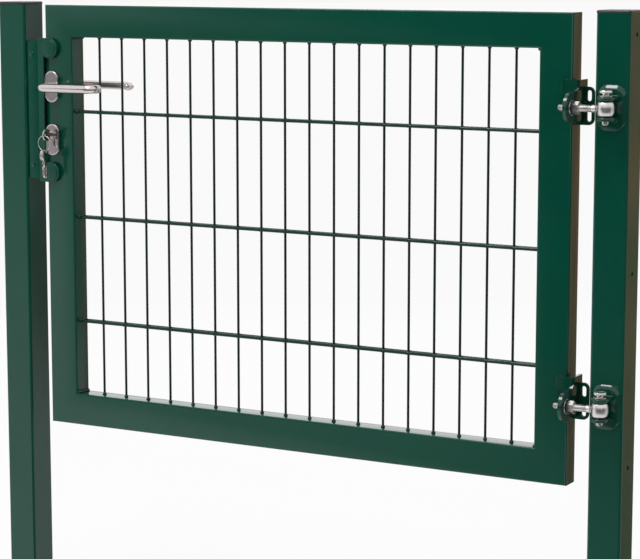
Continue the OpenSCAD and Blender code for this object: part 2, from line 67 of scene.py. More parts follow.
# %% Camera
camera = bpy.data.objects.new("camera", bpy.data.cameras.new("camera"))
bpy.context.scene.collection.objects.link(camera)
camera.location = (1.3091, -3.3714, 1.3003)
turn_left, look_down = math.radians(29.035), math.radians(8.6)
camera.rotation_euler = (math.pi / 2 - look_down, 0, turn_left)
camera.data.sensor_width = 36
camera.data.lens = 122.29
camera.data.clip_start, camera.data.clip_end = 0.05, 60
bpy.context.scene.camera = camera
print("lens", camera.data.lens, "mm, turned", round(math.degrees(turn_left), 1), "degrees")

# %% [markdown]
# ## Shader maths as sums
# A node tree is easier to read as a formula. `Value` wraps one socket, and the
# usual operators on it add Math nodes. `Finish` holds one material: its method
# `node` makes any other node from its type, its settings and its inputs, so a
# finish below is a few lines of arithmetic.

# %% Shader helpers
class Value:
    """One output socket; sums and products of values become Math nodes."""

    def __init__(self, finish, socket):
        self.finish, self.socket = finish, socket

    def maths(self, operation, *others):
        terms = dict(enumerate((self, *others)))
        return self.finish.node("ShaderNodeMath", {"operation": operation}, terms)

    def __add__(self, other):
        return self.maths("ADD", other)

    def __mul__(self, other):
        return self.maths("MULTIPLY", other)

    def __sub__(self, other):
        return self.maths("SUBTRACT", other)

    def __rsub__(self, other):
        return self.maths("MULTIPLY", -1) + other

    __radd__, __rmul__ = __add__, __mul__

    def between(self, low, high):
        """0 below low, 1 above high and a smooth rise between them."""
        return self.finish.node("ShaderNodeMapRange", {"interpolation_type": "SMOOTHSTEP"},
                                {"Value": self, "From Min": low, "From Max": high})

    def clipped(self, most=1.0):
        """The value, but never below 0 or above `most`."""
        return self.maths("MAXIMUM", 0.0).maths("MINIMUM", most)

    def beside(self, output):
        """Another output of the same node."""
        return Value(self.finish, self.socket.node.outputs[output])


class Finish:
    """One material, with its shader and the ways to feed it."""

    def __init__(self, name, tree_owner=None):
        self.owner = tree_owner or bpy.data.materials.new(name)
        self.owner.use_nodes = True
        self.nodes, self.links = self.owner.node_tree.nodes, self.owner.node_tree.links
        self.shader = self.nodes.get("Principled BSDF")

    def node(self, kind, settings={}, inputs={}, output=0):
        """A node of any kind: its settings first, then values or links for its sockets."""
        made = self.nodes.new(kind)
        for key, setting in settings.items():
            setattr(made, key, setting)
        for key, given in inputs.items():
            self.feed(made.inputs[key], given)
        return Value(self, made.outputs[output])

    def feed(self, socket, given):
        if isinstance(given, Value):
            self.links.new(given.socket, socket)
        else:
            socket.default_value = given

    def set(self, **sockets):
        """Feeds or sets the shader's own sockets; underscores stand for spaces."""
        for key, given in sockets.items():
            self.feed(self.shader.inputs[key.replace("_", " ")], given)

    def place(self, stretch=(1, 1, 1)):
        """Object coordinates in metres, stretched along each axis."""
        spot = self.node("ShaderNodeTexCoord", output="Object")
        if stretch == (1, 1, 1):
            return spot
        return self.node("ShaderNodeMapping", {}, {"Vector": spot, "Scale": stretch})

    def noise(self, size, detail, stretch=(1, 1, 1)):
        """Cloudy pattern between 0 and 1 whose patches are about `size` metres across."""
        return self.node("ShaderNodeTexNoise", {}, {
            "Vector": self.place(stretch), "Scale": 1 / size, "Detail": detail})

    def blend(self, factor, first, second):
        """Colour that goes from the first to the second as the factor rises; each is a
        link or three numbers."""
        first, second = (colour if isinstance(colour, Value) else (*colour, 1) for colour in (first, second))
        return self.node("ShaderNodeMix", {"data_type": "RGBA"}, {0: factor, 6: first, 7: second}, output=2)

    def relief(self, height, depth):
        """Small relief: the height, 0 to 1, times a depth in metres."""
        self.set(Normal=self.node("ShaderNodeBump", {}, {"Height": height, "Distance": depth}))


# %% [markdown]
# ## Green coat
# The frame is stoved in a gloss green. Baked powder never lies quite flat: it
# keeps a soft ripple of two or three millimetres, called orange peel, which
# bends reflections a little. Colour drifts very slowly over a long tube, and
# the gloss is a touch lower in cloudy patches. All of it reads object
# coordinates in metres, so every tube shows the ripple at the same size. The
# forks and brackets are a shade darker, which is painted shade for the shadow
# that falls on them. The level wires and their welds are darker still and less
# glossy, and the thin upright wires look nearly black.

# %% Green coat
DEEP_GREEN, LIGHT_GREEN = (0.0004, 0.0500, 0.0300), (0.0008, 0.0560, 0.0345)
NEARLY_BLACK, DUSTY_BLACK = (0.006, 0.014, 0.010), (0.010, 0.020, 0.015)


def green_coat(name="green_coat", depth=1.0, gloss=1.5):
    """Green powder coat: `depth` scales its green and blue, `gloss` is its refractive index."""
    coat = Finish(name)
    drift, ripple, haze = coat.noise(0.35, 3), coat.noise(0.0022, 1.5), coat.noise(0.04, 4)
    deep, light = ((red, green * depth, blue * depth) for red, green, blue in (DEEP_GREEN, LIGHT_GREEN))
    coat.set(Base_Color=coat.blend(drift.between(0.3, 0.7), deep, light), Roughness=0.09 + 0.10 * haze)
    coat.shader.inputs["IOR"].default_value = gloss
    coat.relief(ripple, 0.000012)
    return coat.owner


def mesh_coat():
    """The upright wires' coat: thin, dull and nearly black."""
    coat = Finish("mesh_coat")
    dust, drift = coat.noise(0.03, 4), coat.noise(0.3, 2)
    coat.set(Base_Color=coat.blend(0.5 * dust + 0.5 * drift, NEARLY_BLACK, DUSTY_BLACK),
             Roughness=0.16 + 0.14 * dust)
    coat.shader.inputs["IOR"].default_value = 1.4
    return coat.owner


green = green_coat()
# Darker and less glossy than the frame's coat; used on the level wires and all welds.
darker_green_coat = green_coat("darker_green_coat", depth=0.5, gloss=1.36)
# Painted shade: the forks and brackets get a darker green for the shadow that falls on them.
fork_coat_painted_shade = green_coat("fork_coat_painted_shade", depth=0.85)
wire_coat = mesh_coat()
print("coats:", [coat.name for coat in (green, darker_green_coat, fork_coat_painted_shade, wire_coat)])

# %% [markdown]
# ## Steel and zinc
# The levers, the keys, the rosettes and the cylinder are satin stainless steel:
# fine lines all run one way, so the noise is stretched along the grain. The
# rosettes and the cylinder take a darker copy of it, which is painted shade. The
# rear lever is softer, with no grain, and its lighter copy is painted light. The
# hinge parts are zinc plated and cloudy, with the skin of a forging under the
# plating.

# %% Steel and zinc
ALONG_X, ALONG_Z, NO_GRAIN = (0.05, 1, 1), (1, 1, 0.05), (1, 1, 1)
DARK_STEEL, LIGHT_STEEL = (0.60, 0.54, 0.54), (0.72, 0.67, 0.66)


def satin_steel(name, grain, dull=0.0, tone=1.0):
    """Stainless steel with its grain along the axis where `grain` is small; `dull` adds
    roughness and `tone` scales the brightness."""
    steel = Finish(name)
    lines, patches = steel.noise(0.001, 2, grain), steel.noise(0.012, 3)
    dark, light = ([channel * tone for channel in colour] for colour in (DARK_STEEL, LIGHT_STEEL))
    steel.set(
        Base_Color=steel.blend(patches, dark, light),
        Roughness=0.07 + dull + 0.10 * lines + 0.06 * patches)
    steel.shader.inputs["Metallic"].default_value = 1
    steel.relief(lines, 0.000010)
    return steel.owner


def zinc_plate():
    """Zinc plating: cloudy brightness and dullness over the fine skin of a forging."""
    zinc = Finish("zinc_plate")
    cloud, skin = zinc.noise(0.006, 4), zinc.noise(0.0011, 3)
    zinc.set(
        Base_Color=zinc.blend(cloud.between(0.3, 0.7), (0.62, 0.59, 0.58), (0.80, 0.78, 0.76)),
        Roughness=0.20 + 0.18 * cloud)
    zinc.shader.inputs["Metallic"].default_value = 1
    zinc.relief(skin, 0.00008)
    return zinc.owner


steel_along_x = satin_steel("stainless_lever", ALONG_X)
# A darker copy of the steel: painted shade on the rosettes and the cylinder.
steel_along_z_painted_shade = satin_steel("stainless", ALONG_Z, tone=0.8)
# A lighter copy of the steel: painted light on the rear lever.
soft_steel_painted_light = satin_steel("stainless_soft_painted_light", NO_GRAIN, dull=0.16, tone=1.2)
zinc = zinc_plate()
print("metals:", [metal.name for metal in (steel_along_x, steel_along_z_painted_shade, soft_steel_painted_light, zinc)])

# %% [markdown]
# ## Plastic and rubber
# The post caps and the soft hinge washers are black moulded plastic with a fine
# leathery skin. The stop buffers are rubber, duller and a little dusty.

# %% Plastic and rubber
def moulded(name, dark, light, gloss, skin_depth):
    """Moulded black material: `gloss` is its lowest roughness."""
    skin = Finish(name)
    dust, leather = skin.noise(0.02, 4), skin.noise(0.0009, 2)
    skin.set(
        Base_Color=skin.blend(dust.between(0.35, 0.75), (dark,) * 3, (light,) * 3),
        Roughness=gloss + 0.15 * dust)
    skin.relief(leather, skin_depth)
    return skin.owner


plastic = moulded("black_plastic", dark=0.010, light=0.022, gloss=0.28, skin_depth=0.00002)
rubber = moulded("buffer_rubber", dark=0.012, light=0.026, gloss=0.6, skin_depth=0.00005)
print("moulded:", plastic.name, rubber.name)

# %% [markdown]
# ## Finishes on the solids
# Every solid takes a finish, and the record says which slot it belongs to. One
# whose shape is already right, such as a post, keeps its mesh. The others are
# replaced by finer pieces further on.

# %% Finishes on the solids
finish_of = {"green_coat": green, "stainless": steel_along_z_painted_shade, "zinc_plate": zinc,
             "black_plastic": plastic, "buffer_rubber": rubber}
slot_of = {part["node"]: part["material_slot"] for part in frame["record"]["subparts"]}
for node, solid in frame["nodes"].items():
    solid.data.materials.clear()
    solid.data.materials.append(finish_of[slot_of[node]])
print(len(slot_of), "solids have a finish")

# %% [markdown]
# ## Surfaces from arrays
# A surface is a table of points, rows by columns, and each point joins its
# neighbours. `grid` makes that table into faces. A table may have a further
# axis in front for copies, so that eighteen wires are one call. `piece` puts
# one or more such surfaces into an object, gives it a finish and says which
# body it rides on and which solids it stands for. Lengths are millimetres up
# to that point, as a drawing has them.

# %% Grids and pieces
MM, MERGE_WITHIN = 0.001, 1e-7  # metres
SHARP = 32  # degrees between faces, above which an edge shows


def grid(points, wrap_rows=False, wrap_columns=False, caps=False):
    """Vertices and faces of a surface: each quad joins rows r, r+1 and columns c, c+1.
    `caps` closes the first and the last row with one flat face each."""
    points = np.asarray(points, float)
    points = points[None] if points.ndim == 3 else points
    copies, rows, columns, _ = points.shape
    steps_down, steps_along = rows - (not wrap_rows), columns - (not wrap_columns)
    r, c = np.meshgrid(np.arange(steps_down), np.arange(steps_along), indexing="ij")
    row, next_row, next_c = r * columns, (r + 1) % rows * columns, (c + 1) % columns
    quads = np.stack([row + c, row + next_c, next_row + next_c, next_row + c], -1)
    starts = np.arange(copies) * rows * columns
    faces = (quads.reshape(1, -1, 4) + starts[:, None, None]).reshape(-1, 4).tolist()
    if caps:
        ends = np.stack([np.arange(columns), (rows - 1) * columns + np.arange(columns)])
        faces += (ends[None] + starts[:, None, None]).reshape(-1, columns).tolist()
    return points.reshape(-1, 3), faces


def piece(name, surfaces, slot, body, replaces=(), finish=None, bevel=0, wall=0, sharp=SHARP):
    """One object from surfaces in millimetres, with its finish, its body and the solids it replaces.
    `bevel` rounds sharp edges by that many millimetres, `wall` thickens a sheet about its middle."""
    vertices, faces, start = [], [], 0
    for points, joined in surfaces:
        vertices.append(points)
        faces += [[corner + start for corner in face] for face in joined]
        start += len(points)
    mesh = bpy.data.meshes.new(name)
    mesh.from_pydata(np.concatenate(vertices) * MM, [], faces)
    shape = bmesh.new()
    shape.from_mesh(mesh)
    bmesh.ops.remove_doubles(shape, verts=shape.verts, dist=MERGE_WITHIN)
    bmesh.ops.recalc_face_normals(shape, faces=shape.faces)
    shape.to_mesh(mesh)
    shape.free()
    mesh.materials.append(finish or finish_of[slot])
    mesh.shade_smooth()
    mesh.set_sharp_from_angle(angle=math.radians(sharp))
    made = bpy.data.objects.new(name, mesh)
    bpy.context.scene.collection.objects.link(made)
    if wall:
        solid = made.modifiers.new("wall", "SOLIDIFY")
        solid.thickness, solid.offset, solid.use_even_offset = wall * MM, 0, True
    if bevel:
        round_off = made.modifiers.new("bevel", "BEVEL")
        round_off.width, round_off.segments, round_off.limit_method = bevel * MM, 3, "ANGLE"
        round_off.angle_limit, round_off.harden_normals = math.radians(sharp), True
    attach(made, body)
    if replaces:
        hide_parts(*replaces)
    print(f"{name}: {len(mesh.polygons)} faces")


def low(node):
    """Lowest corner of a solid's box, in millimetres."""
    return np.array(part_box(node)[0]) / MM


def high(node):
    """Highest corner of a solid's box, in millimetres."""
    return np.array(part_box(node)[1]) / MM


def mid(node):
    """Centre of a solid's box, in millimetres."""
    return np.array(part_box(node)).sum(0) / 2 / MM


# %% [markdown]
# ## Profiles
# Nearly every piece of a gate is a flat outline made thick, a turned shape, or
# a round section carried along a line. The first two start here. An outline has
# the same number of points whatever its inset, so outlines can be stacked into
# a rounded rim, and a turned shape is a stack of circles.

# %% Outlines, lofts and turned shapes
def circle_angles(sides):
    """Angles of points spaced evenly round a circle."""
    return np.arange(sides) * 2 * np.pi / sides


def rounded_outline(width, depth, radius, inset=0.0, steps=6):
    """Rectangle with round corners: corner centre plus radius times (cosine, sine).
    The radius shrinks with the inset."""
    quarter = np.linspace(0, np.pi / 2, steps + 1)
    angle = (quarter[None] + np.arange(4)[:, None] * np.pi / 2).ravel()
    side_x = np.sign(np.cos(np.repeat(np.arange(4) * np.pi / 2 + np.pi / 4, steps + 1)))
    side_y = np.sign(np.sin(np.repeat(np.arange(4) * np.pi / 2 + np.pi / 4, steps + 1)))
    r = max(radius - inset, 0.01)
    x = side_x * (width / 2 - inset - r) + r * np.cos(angle)
    y = side_y * (depth / 2 - inset - r) + r * np.sin(angle)
    return np.stack([x, y], -1)


def loft(outlines, heights, centre, axis="z"):
    """Outlines stacked at heights along an axis; both ends are closed flat."""
    stack = np.stack([np.column_stack([flat, np.full(len(flat), h)]) for flat, h in zip(outlines, heights)])
    order = {"z": [0, 1, 2], "y": [0, 2, 1], "x": [2, 0, 1]}[axis]
    return grid(stack[..., order] + np.asarray(centre, float), wrap_columns=True, caps=True)


def turned(profile, centre, axis="z", sides=48):
    """Turned shape: each (radius, height) of the profile swept round the axis."""
    angle = circle_angles(sides)
    rings = [np.column_stack([r * np.cos(angle), r * np.sin(angle)]) for r, _ in profile]
    return loft(rings, [h for _, h in profile], centre, axis)


# %% [markdown]
# ## The welded frame
# Four tubes are mitred, welded, ground flush and coated, so the finished frame
# has no seam one can see. One rounded section carried round a rectangle gives
# that: a section point that lies `out` from the tube's middle line sits on a
# rectangle grown by `out`, and the mitres come by themselves.

# %% Frame
TUBE_ROUND = 3.0
tube_low, tube_high = low("frame_bottom_rail"), high("frame_top_rail")
tube_face = high("frame_bottom_rail")[2] - tube_low[2]
tube_depth = tube_high[1] - tube_low[1]
section = rounded_outline(tube_face, tube_depth, TUBE_ROUND)
frame_mid = (tube_low + tube_high) / 2
half = (tube_high - tube_low) / 2 - [tube_face / 2, 0, tube_face / 2]
corner_x, corner_z = np.array([-1, 1, 1, -1]), np.array([-1, -1, 1, 1])
frame_points = np.stack([
    frame_mid[0] + corner_x[:, None] * (half[0] + section[None, :, 0]),
    np.broadcast_to(frame_mid[1] + section[:, 1], (4, len(section))),
    frame_mid[2] + corner_z[:, None] * (half[2] + section[None, :, 0])], -1)
piece("leaf_frame", [grid(frame_points, wrap_rows=True, wrap_columns=True)], "green_coat", "leaf",
      ["frame_top_rail", "frame_bottom_rail", "frame_latch_stile", "frame_hinge_stile"])
opening_low = tube_low + [tube_face, 0, tube_face]
opening_high = tube_high - [tube_face, 0, tube_face]
print("opening", opening_high[0] - opening_low[0], "by", opening_high[2] - opening_low[2], "mm")

# %% [markdown]
# ## The mesh
# Double-bar mesh has one layer of upright wires between two layers of level
# ones, resistance welded where they touch. The weld squeezes both wires, so a
# small bulge shows at each crossing. A wire is a round bar whose radius is
# `r + bulge`, with the bulge a narrow bell at every crossing. One function
# makes both sets, because a copy of a wire is only a shift of the same rings.

# %% Mesh
UPRIGHT_R, LEVEL_R, WIRE_SIDES, SINK = 2.25, 3.0, 14, 1
PITCH, LEVEL_PITCH, LOWEST_LEVEL = 50.0, 200.0, 140.0
upright_x = np.arange(opening_low[0] + PITCH, opening_high[0] - 1, PITCH)
level_z = opening_low[2] + LOWEST_LEVEL + LEVEL_PITCH * np.arange(3)
level_y = np.array([-1, 1]) * (high("mesh_panel")[1] - LEVEL_R)


def stations(start, end, crossings, reach=4.0):
    """Places along a wire: its two ends, and five round each crossing."""
    near = crossings[:, None] + np.array([-1, -0.5, 0, 0.5, 1]) * reach
    return np.concatenate([[start], near.ravel(), [end]])


def bulge(places, crossings, amount=0.45, reach=2.2):
    """Bell at each crossing: amount times exp(-(distance / reach) squared), summed."""
    return (amount * np.exp(-(((places[:, None] - crossings) / reach) ** 2))).sum(1)


def wires(places, radius, place_points):
    """Round bars: a circle of the given radius at each place, moved by `place_points`."""
    angle = circle_angles(WIRE_SIDES)
    ring = radius[:, None, None] * np.stack([np.cos(angle), np.sin(angle)], -1)[None]
    return grid(place_points(ring, places[:, None] + 0 * angle), wrap_columns=True, caps=True)


rise = stations(opening_low[2] - SINK, opening_high[2] + SINK, level_z)
run = stations(opening_low[0] - SINK, opening_high[0] + SINK, upright_x)
upright_wires = wires(rise, UPRIGHT_R + bulge(rise, level_z), lambda ring, z: np.stack([
    upright_x[:, None, None] + ring[None, ..., 0], np.broadcast_to(ring[..., 1], (len(upright_x), *z.shape)),
    np.broadcast_to(z, (len(upright_x), *z.shape))], -1))
level_at = np.array([(y, z) for y in level_y for z in level_z])
level_wires = wires(run, LEVEL_R + bulge(run, upright_x), lambda ring, x: np.stack([
    np.broadcast_to(x, (len(level_at), *x.shape)), level_at[:, 0, None, None] + ring[None, ..., 0],
    level_at[:, 1, None, None] + ring[None, ..., 1]], -1))
piece("upright_wires", [upright_wires], "green_coat", "leaf", ["mesh_panel"], wire_coat, sharp=60)
piece("level_wires", [level_wires], "green_coat", "leaf", finish=darker_green_coat, sharp=60)

# %% [markdown]
# ## Weld beads
# Each wire is welded to the inside of the frame. The bead is a collar that
# leans from the frame up the wire, lumpy because the arc dwells. Its radius is
# nearly the wire's plus `reach (1 - t^2)^0.7 lump`, where t climbs from 0 on the
# frame to 1 on the wire and the lump is a small wave round it. The frame's inner corners are
# welded too, with a thick bead across the tube's depth. A straight bead is a
# round bar along a line whose radius swells and shrinks, and the same bar
# makes the levers and the key ring further on.

# %% Collars
def weld_beads(feet, directions, wire_radius, reach=1.7, climb=4.4, under=0.96, sink=0.3, sides=12, seed=3):
    """Collars round wires that stand on a face, for n feet with n unit directions: `under`
    times the wire's radius, plus reach (1 - t^2)^0.7 lump. A collar starts `sink` inside the face."""
    feet, directions = np.asarray(feet, float), np.asarray(directions, float)
    wave = np.random.default_rng(seed).uniform(0, 2 * np.pi, (len(feet), 2, 1, 1))
    t, angle = np.linspace(0, 1, 7)[:, None], circle_angles(sides)[None]
    lump = 1 + 0.16 * np.sin(2 * angle + wave[:, 0]) + 0.09 * np.sin(5 * angle + wave[:, 1])
    radius = wire_radius * under + reach * (1 - t ** 2) ** 0.7 * lump
    side = np.cross(directions, [0.0, 1.0, 0.0])
    side /= np.linalg.norm(side, axis=1)[:, None]
    other = np.cross(directions, side)
    ring = np.cos(angle)[0][:, None, None] * side + np.sin(angle)[0][:, None, None] * other
    points = (feet[:, None, None] + directions[:, None, None] * (climb * t[None, ..., None] - sink)
              + radius[..., None] * ring.transpose(1, 0, 2)[:, None])
    return grid(points, wrap_columns=True, caps=True)


upright_feet = [(x, 0, z) for z in (opening_low[2], opening_high[2]) for x in upright_x]
upwards = [(0, 0, way) for way in (1, -1) for _ in upright_x]
level_feet = [(x, y, z) for x in (opening_low[0], opening_high[0]) for y, z in level_at]
inwards = [(way, 0, 0) for way in (1, -1) for _ in level_at]
collars = [weld_beads(upright_feet, upwards, UPRIGHT_R), weld_beads(level_feet, inwards, LEVEL_R, seed=4)]
piece("wire_welds", collars, "green_coat", "leaf", finish=darker_green_coat, sharp=70)


# %% Bars and straight beads
def bar(path, radius, side, sides):
    """Round bar along a path: centre + radius (cos a . side + sin a . binormal),
    where `side` is a direction at right angles to the whole path."""
    path, side = np.asarray(path, float), np.asarray(side, float)
    along = np.gradient(path, axis=0)
    along /= np.linalg.norm(along, axis=1)[:, None]
    across = np.cross(along, side)
    angle = circle_angles(sides)
    radius = np.broadcast_to(radius, len(path))[:, None, None]
    ring = np.cos(angle)[None, :, None] * side + np.sin(angle)[None, :, None] * across[:, None, :]
    return grid(path[:, None] + radius * ring, wrap_columns=True, caps=True)


def weld_line(start, end, radius=1.6, side=(0, 0, 1), seed=5):
    """Bead along a line: a bar whose radius is r (1 + 0.13 sin(2.1 distance + seed)), times
    a square root of the nearness to an end, so that both ends are round."""
    start, end = np.asarray(start, float), np.asarray(end, float)
    length = np.linalg.norm(end - start)
    t = np.linspace(0, 1, max(int(length * 1.2), 6))
    lump = 1 + 0.13 * np.sin(t * length * 2.1 + seed)
    taper = np.minimum(1, 3.2 * np.sqrt(np.minimum(t, 1 - t) + 0.01))
    return bar(start + t[:, None] * (end - start), radius * lump * taper, side, 10)


CORNER_BEAD_R, CORNER_IN, SHORT_BY = 3.4, 1.2, 2
corners = [(x, z) for x in (opening_low[0] + CORNER_IN, opening_high[0] - CORNER_IN)
           for z in (opening_low[2] + CORNER_IN, opening_high[2] - CORNER_IN)]
bead_front, bead_rear = tube_low[1] + SHORT_BY, tube_high[1] - SHORT_BY
corner_welds = [weld_line((x, bead_front, z), (x, bead_rear, z), CORNER_BEAD_R, seed=x + z)
                for x, z in corners]
piece("corner_welds", corner_welds, "green_coat", "leaf", finish=darker_green_coat, sharp=60)

# %% [markdown]
# ## Post caps
# A cap is a square of plastic with a soft top edge and a thin lip that
# overhangs the tube, on a plug that goes inside. Square outlines, each with its
# own inset and height, are stacked into the lip and the round above it.

# %% Post caps
POST_W, POST_WALL, PLUG_SLACK, PLUG_DEPTH, PLUG_LAP = 60, 3, 0.3, 18, 0.1
CAP_ROUND, PLUG_ROUND = 4.8, 3.5
CAP_EDGE = [(2.0, 0.02), (0.4, 0.02), (0.0, 0.5), (0.0, 2.4), (0.5, 3.7), (1.5, 4.5), (3.2, 4.9), (6.0, 5.0)]
for post in ("hinge_post", "latch_post"):
    tube_top, cap = high(post), high(f"{post}_cap")
    centre = (mid(post)[0], 0, tube_top[2])
    width = 2 * (cap[0] - mid(post)[0])
    plug = POST_W - 2 * (POST_WALL + PLUG_SLACK)
    insets, heights = zip(*CAP_EDGE)
    rim = loft([rounded_outline(width, width, CAP_ROUND, i) for i in insets], heights, centre)
    stem = loft([rounded_outline(plug, plug, PLUG_ROUND)] * 2, [-PLUG_DEPTH, PLUG_LAP], centre)
    piece(f"{post}_top", [rim, stem], "black_plastic", "posts", [f"{post}_cap"], sharp=50)

# %% [markdown]
# ## Forged eye and threaded stud
# The hinge eye is drop forged: a barrel with soft shoulders whose neck runs
# into the stud. Its radius is a smooth curve of height. The stud is rolled
# thread, a cylinder whose radius drops by the thread's depth times a
# triangle wave of `x / pitch - angle / turn`, which is a helix.

# %% Eye bolts
def threaded(x0, x1, diameter, pitch, centre, sides=24, rows_a_turn=6, depth=0.55):
    """Threaded rod along X: radius = d/2 - depth pitch |2 frac(x/pitch - a/2pi) - 1|,
    with both ends chamfered."""
    x = np.arange(x0, x1 + 1e-6, pitch / rows_a_turn)[:, None]
    angle = circle_angles(sides)[None]
    wave = np.abs(2 * ((x / pitch - angle / (2 * np.pi)) % 1) - 1)
    radius = diameter / 2 - depth * pitch * wave
    radius = np.minimum(radius, diameter / 2 - pitch + np.minimum(x - x0, x1 - x))
    points = np.stack([x + 0 * angle, radius * np.cos(angle), radius * np.sin(angle)], -1)
    return grid(points + np.asarray(centre, float), wrap_columns=True, caps=True)


EYE = [(7.5, -13.5), (9.2, -13.45), (11.0, -12.6), (12.6, -11.0), (13.9, -8.4), (14.7, -5.0), (15.0, -1.6),
       (15.0, 1.6), (14.7, 5.0), (13.9, 8.4), (12.6, 11.0), (11.0, 12.6), (9.2, 13.45), (7.5, 13.5)]
NECK = [(9.5, -9.0), (8.4, -12.5), (7.2, -14.6), (6.3, -16.2), (5.9, -18.0), (5.9, -22.5)]
STUD_D, THREAD_PITCH, THREAD_START = 12, 1.75, -21.5
axes = {level: mid(f"{level}_hinge_bolt") * [1, 1, 0] + mid(f"{level}_eye_bolt") * [0, 0, 1]
        for level in ("upper", "lower")}
for level, pin in axes.items():
    stud_end = low(f"{level}_eye_bolt")[0] - pin[0]
    piece(f"{level}_forged_eye", [
        turned(EYE, pin, sides=56),
        turned(NECK, pin, "x", sides=40),
        threaded(stud_end, THREAD_START, STUD_D, THREAD_PITCH, pin)],
        "zinc_plate", "leaf", [f"{level}_eye_bolt"], sharp=50)

# %% [markdown]
# ## Nuts, washers and bolts
# A nut is a hexagon whose corners are turned off at both faces. Its radius is
# the smaller of the hexagon's `flat / cos(angle to the flat)` and a cone, and
# that gives the curved chamfers of a real one. A steel washer lies on the
# bracket, and a soft one between it and the nut. The hinge pin is one turned profile: chamfered foot,
# shank, washer, neck and flat head.

# %% Nuts and bolts
CHAMFER = np.array([(0, -1.4), (0, 0.1), (0.25, 0.45), (0.6, 1.0), (1.1, 1.75), (1.7, 4.0)])


def hexagon(across, z0, z1, centre, axis, sides=72):
    """Hexagon prism with turned corners: radius = min(hexagon, cone), row by row.
    A row of CHAMFER is the depth below a face, and the cone's room past the flat there."""
    angle = circle_angles(sides)
    to_flat = (angle + np.pi / 6) % (np.pi / 3) - np.pi / 6
    flat = across / 2 / np.cos(to_flat)
    depth, room = CHAMFER.T
    z = np.concatenate([depth, z1 - z0 - depth[::-1]])
    cone = across / 2 + np.concatenate([room, room[::-1]])
    radius = np.minimum(flat[None], cone[:, None])
    rings = [np.column_stack([r * np.cos(angle), r * np.sin(angle)]) for r in radius]
    return loft(rings, z0 + z, centre, axis)


def round_washer(radius, thick, start, centre, axis, edge=0.4):
    """Flat washer whose both rims are cut off at 45 degrees."""
    inner, end = radius - edge, start + thick
    return turned([(inner, start), (radius, start + edge), (radius, end - edge), (inner, end)], centre, axis)


NUT_ACROSS, EAR, EYE_GAP = 19, 6.0, 0.3
SOFT_WASHER_R, STEEL_WASHER_R, STEEL_WASHER_T = 11.5, 12.5, 1.3
stud_lines = [pin * [0, 1, 1] for pin in axes.values()]
for nuts in ("clamping_nuts", "lock_nuts"):
    x0, x1 = low(nuts)[0], high(nuts)[0]
    piece(f"turned_{nuts}", [hexagon(NUT_ACROSS, x0, x1, line, "x") for line in stud_lines],
          "zinc_plate", "leaf", [nuts], sharp=28)
washer_x = low("stud_washers")[0], high("stud_washers")[0]
steel_x, soft_x = washer_x[0], washer_x[0] + STEEL_WASHER_T
soft_t = washer_x[1] - washer_x[0] - STEEL_WASHER_T
piece("soft_washers", [round_washer(SOFT_WASHER_R, soft_t, soft_x, line, "x") for line in stud_lines],
      "black_plastic", "leaf", ["stud_washers"])
piece("steel_washers", [round_washer(STEEL_WASHER_R, STEEL_WASHER_T, steel_x, line, "x")
                        for line in stud_lines], "zinc_plate", "leaf")

PIN_R, PIN_FOOT_R, PIN_CHAMFER = 5.9, 4.6, 1.4
PIN_WASHER = [(10.5, 0), (11, 0.4), (11, 1.6), (10.5, 2), (PIN_R, 2)]
PIN_HEAD = [(PIN_R, 6.4), (10.2, 6.4), (11, 5.7), (11, 3.4), (10.2, 2.2), (8.0, 1.6), (0.1, 1.4)]
for level, pin in axes.items():
    foot, top = low(f"{level}_hinge_bolt")[2] - pin[2], high(f"{level}_hinge_bolt")[2] - pin[2]
    ear_top = high(f"{level}_eye_bolt")[2] - pin[2] + EYE_GAP + EAR
    shank = [(PIN_FOOT_R, foot), (PIN_R, foot + PIN_CHAMFER), (PIN_R, ear_top)]
    washer = [(r, ear_top + h) for r, h in PIN_WASHER]
    head = [(r, top - h) for r, h in PIN_HEAD]
    piece(f"{level}_pin_bolt", [turned([*shank, *washer, *head], pin)],
          "zinc_plate", "posts", [f"{level}_hinge_bolt"], sharp=40)

# %% [markdown]
# ## Plates with holes
# The bracket's flat parts have holes, which a stack of outlines can't give. The
# flat shape is cut into triangles round its holes, once for each face, and a
# wall of quads joins the two faces along every loop. That leaves clean edges,
# where cutting with a second solid would leave slivers.

# %% Plates
def cut_plate(outline, holes, start, end, axis):
    """Flat shape with holes between two planes: triangles on both faces, and a quad
    wall under each edge of every loop."""
    loops = [np.asarray(loop, float) for loop in (outline, *holes)]
    flat = np.concatenate(loops)
    triangles = tessellate_polygon([[Vector((*point, 0)) for point in loop] for loop in loops])
    count, faces, begin = len(flat), [], 0
    for side in (0, count):
        faces += [[corner + side for corner in triangle] for triangle in triangles]
    for loop in loops:
        here = begin + np.arange(len(loop))
        ahead = begin + (np.arange(len(loop)) + 1) % len(loop)
        faces += np.stack([here, ahead, ahead + count, here + count], -1).tolist()
        begin += len(loop)
    order = {"x": [2, 0, 1], "y": [0, 2, 1]}[axis]
    both = np.concatenate([np.column_stack([flat, np.full(count, at)]) for at in (start, end)])
    return both[:, order], faces


# %% [markdown]
# ## Clevis
# The fork on the post is two ears welded to a cushion-shaped back plate. The
# plate's face sits a little low against its foot, so its upper edge is wide and
# catches the light from above. Both are stacks of outlines, whose insets round
# the edges.

# %% Clevis
def ear_outline(width, back, inset):
    """Ear in (x, y): a half circle towards the front, its radius times (cosine, sine), and
    straight sides to the plate."""
    r = width / 2 - inset
    nose = np.linspace(np.pi, 2 * np.pi, 25)
    return np.vstack([np.column_stack([r * np.cos(nose), r * np.sin(nose)]), [[r, back], [-r, back]]])


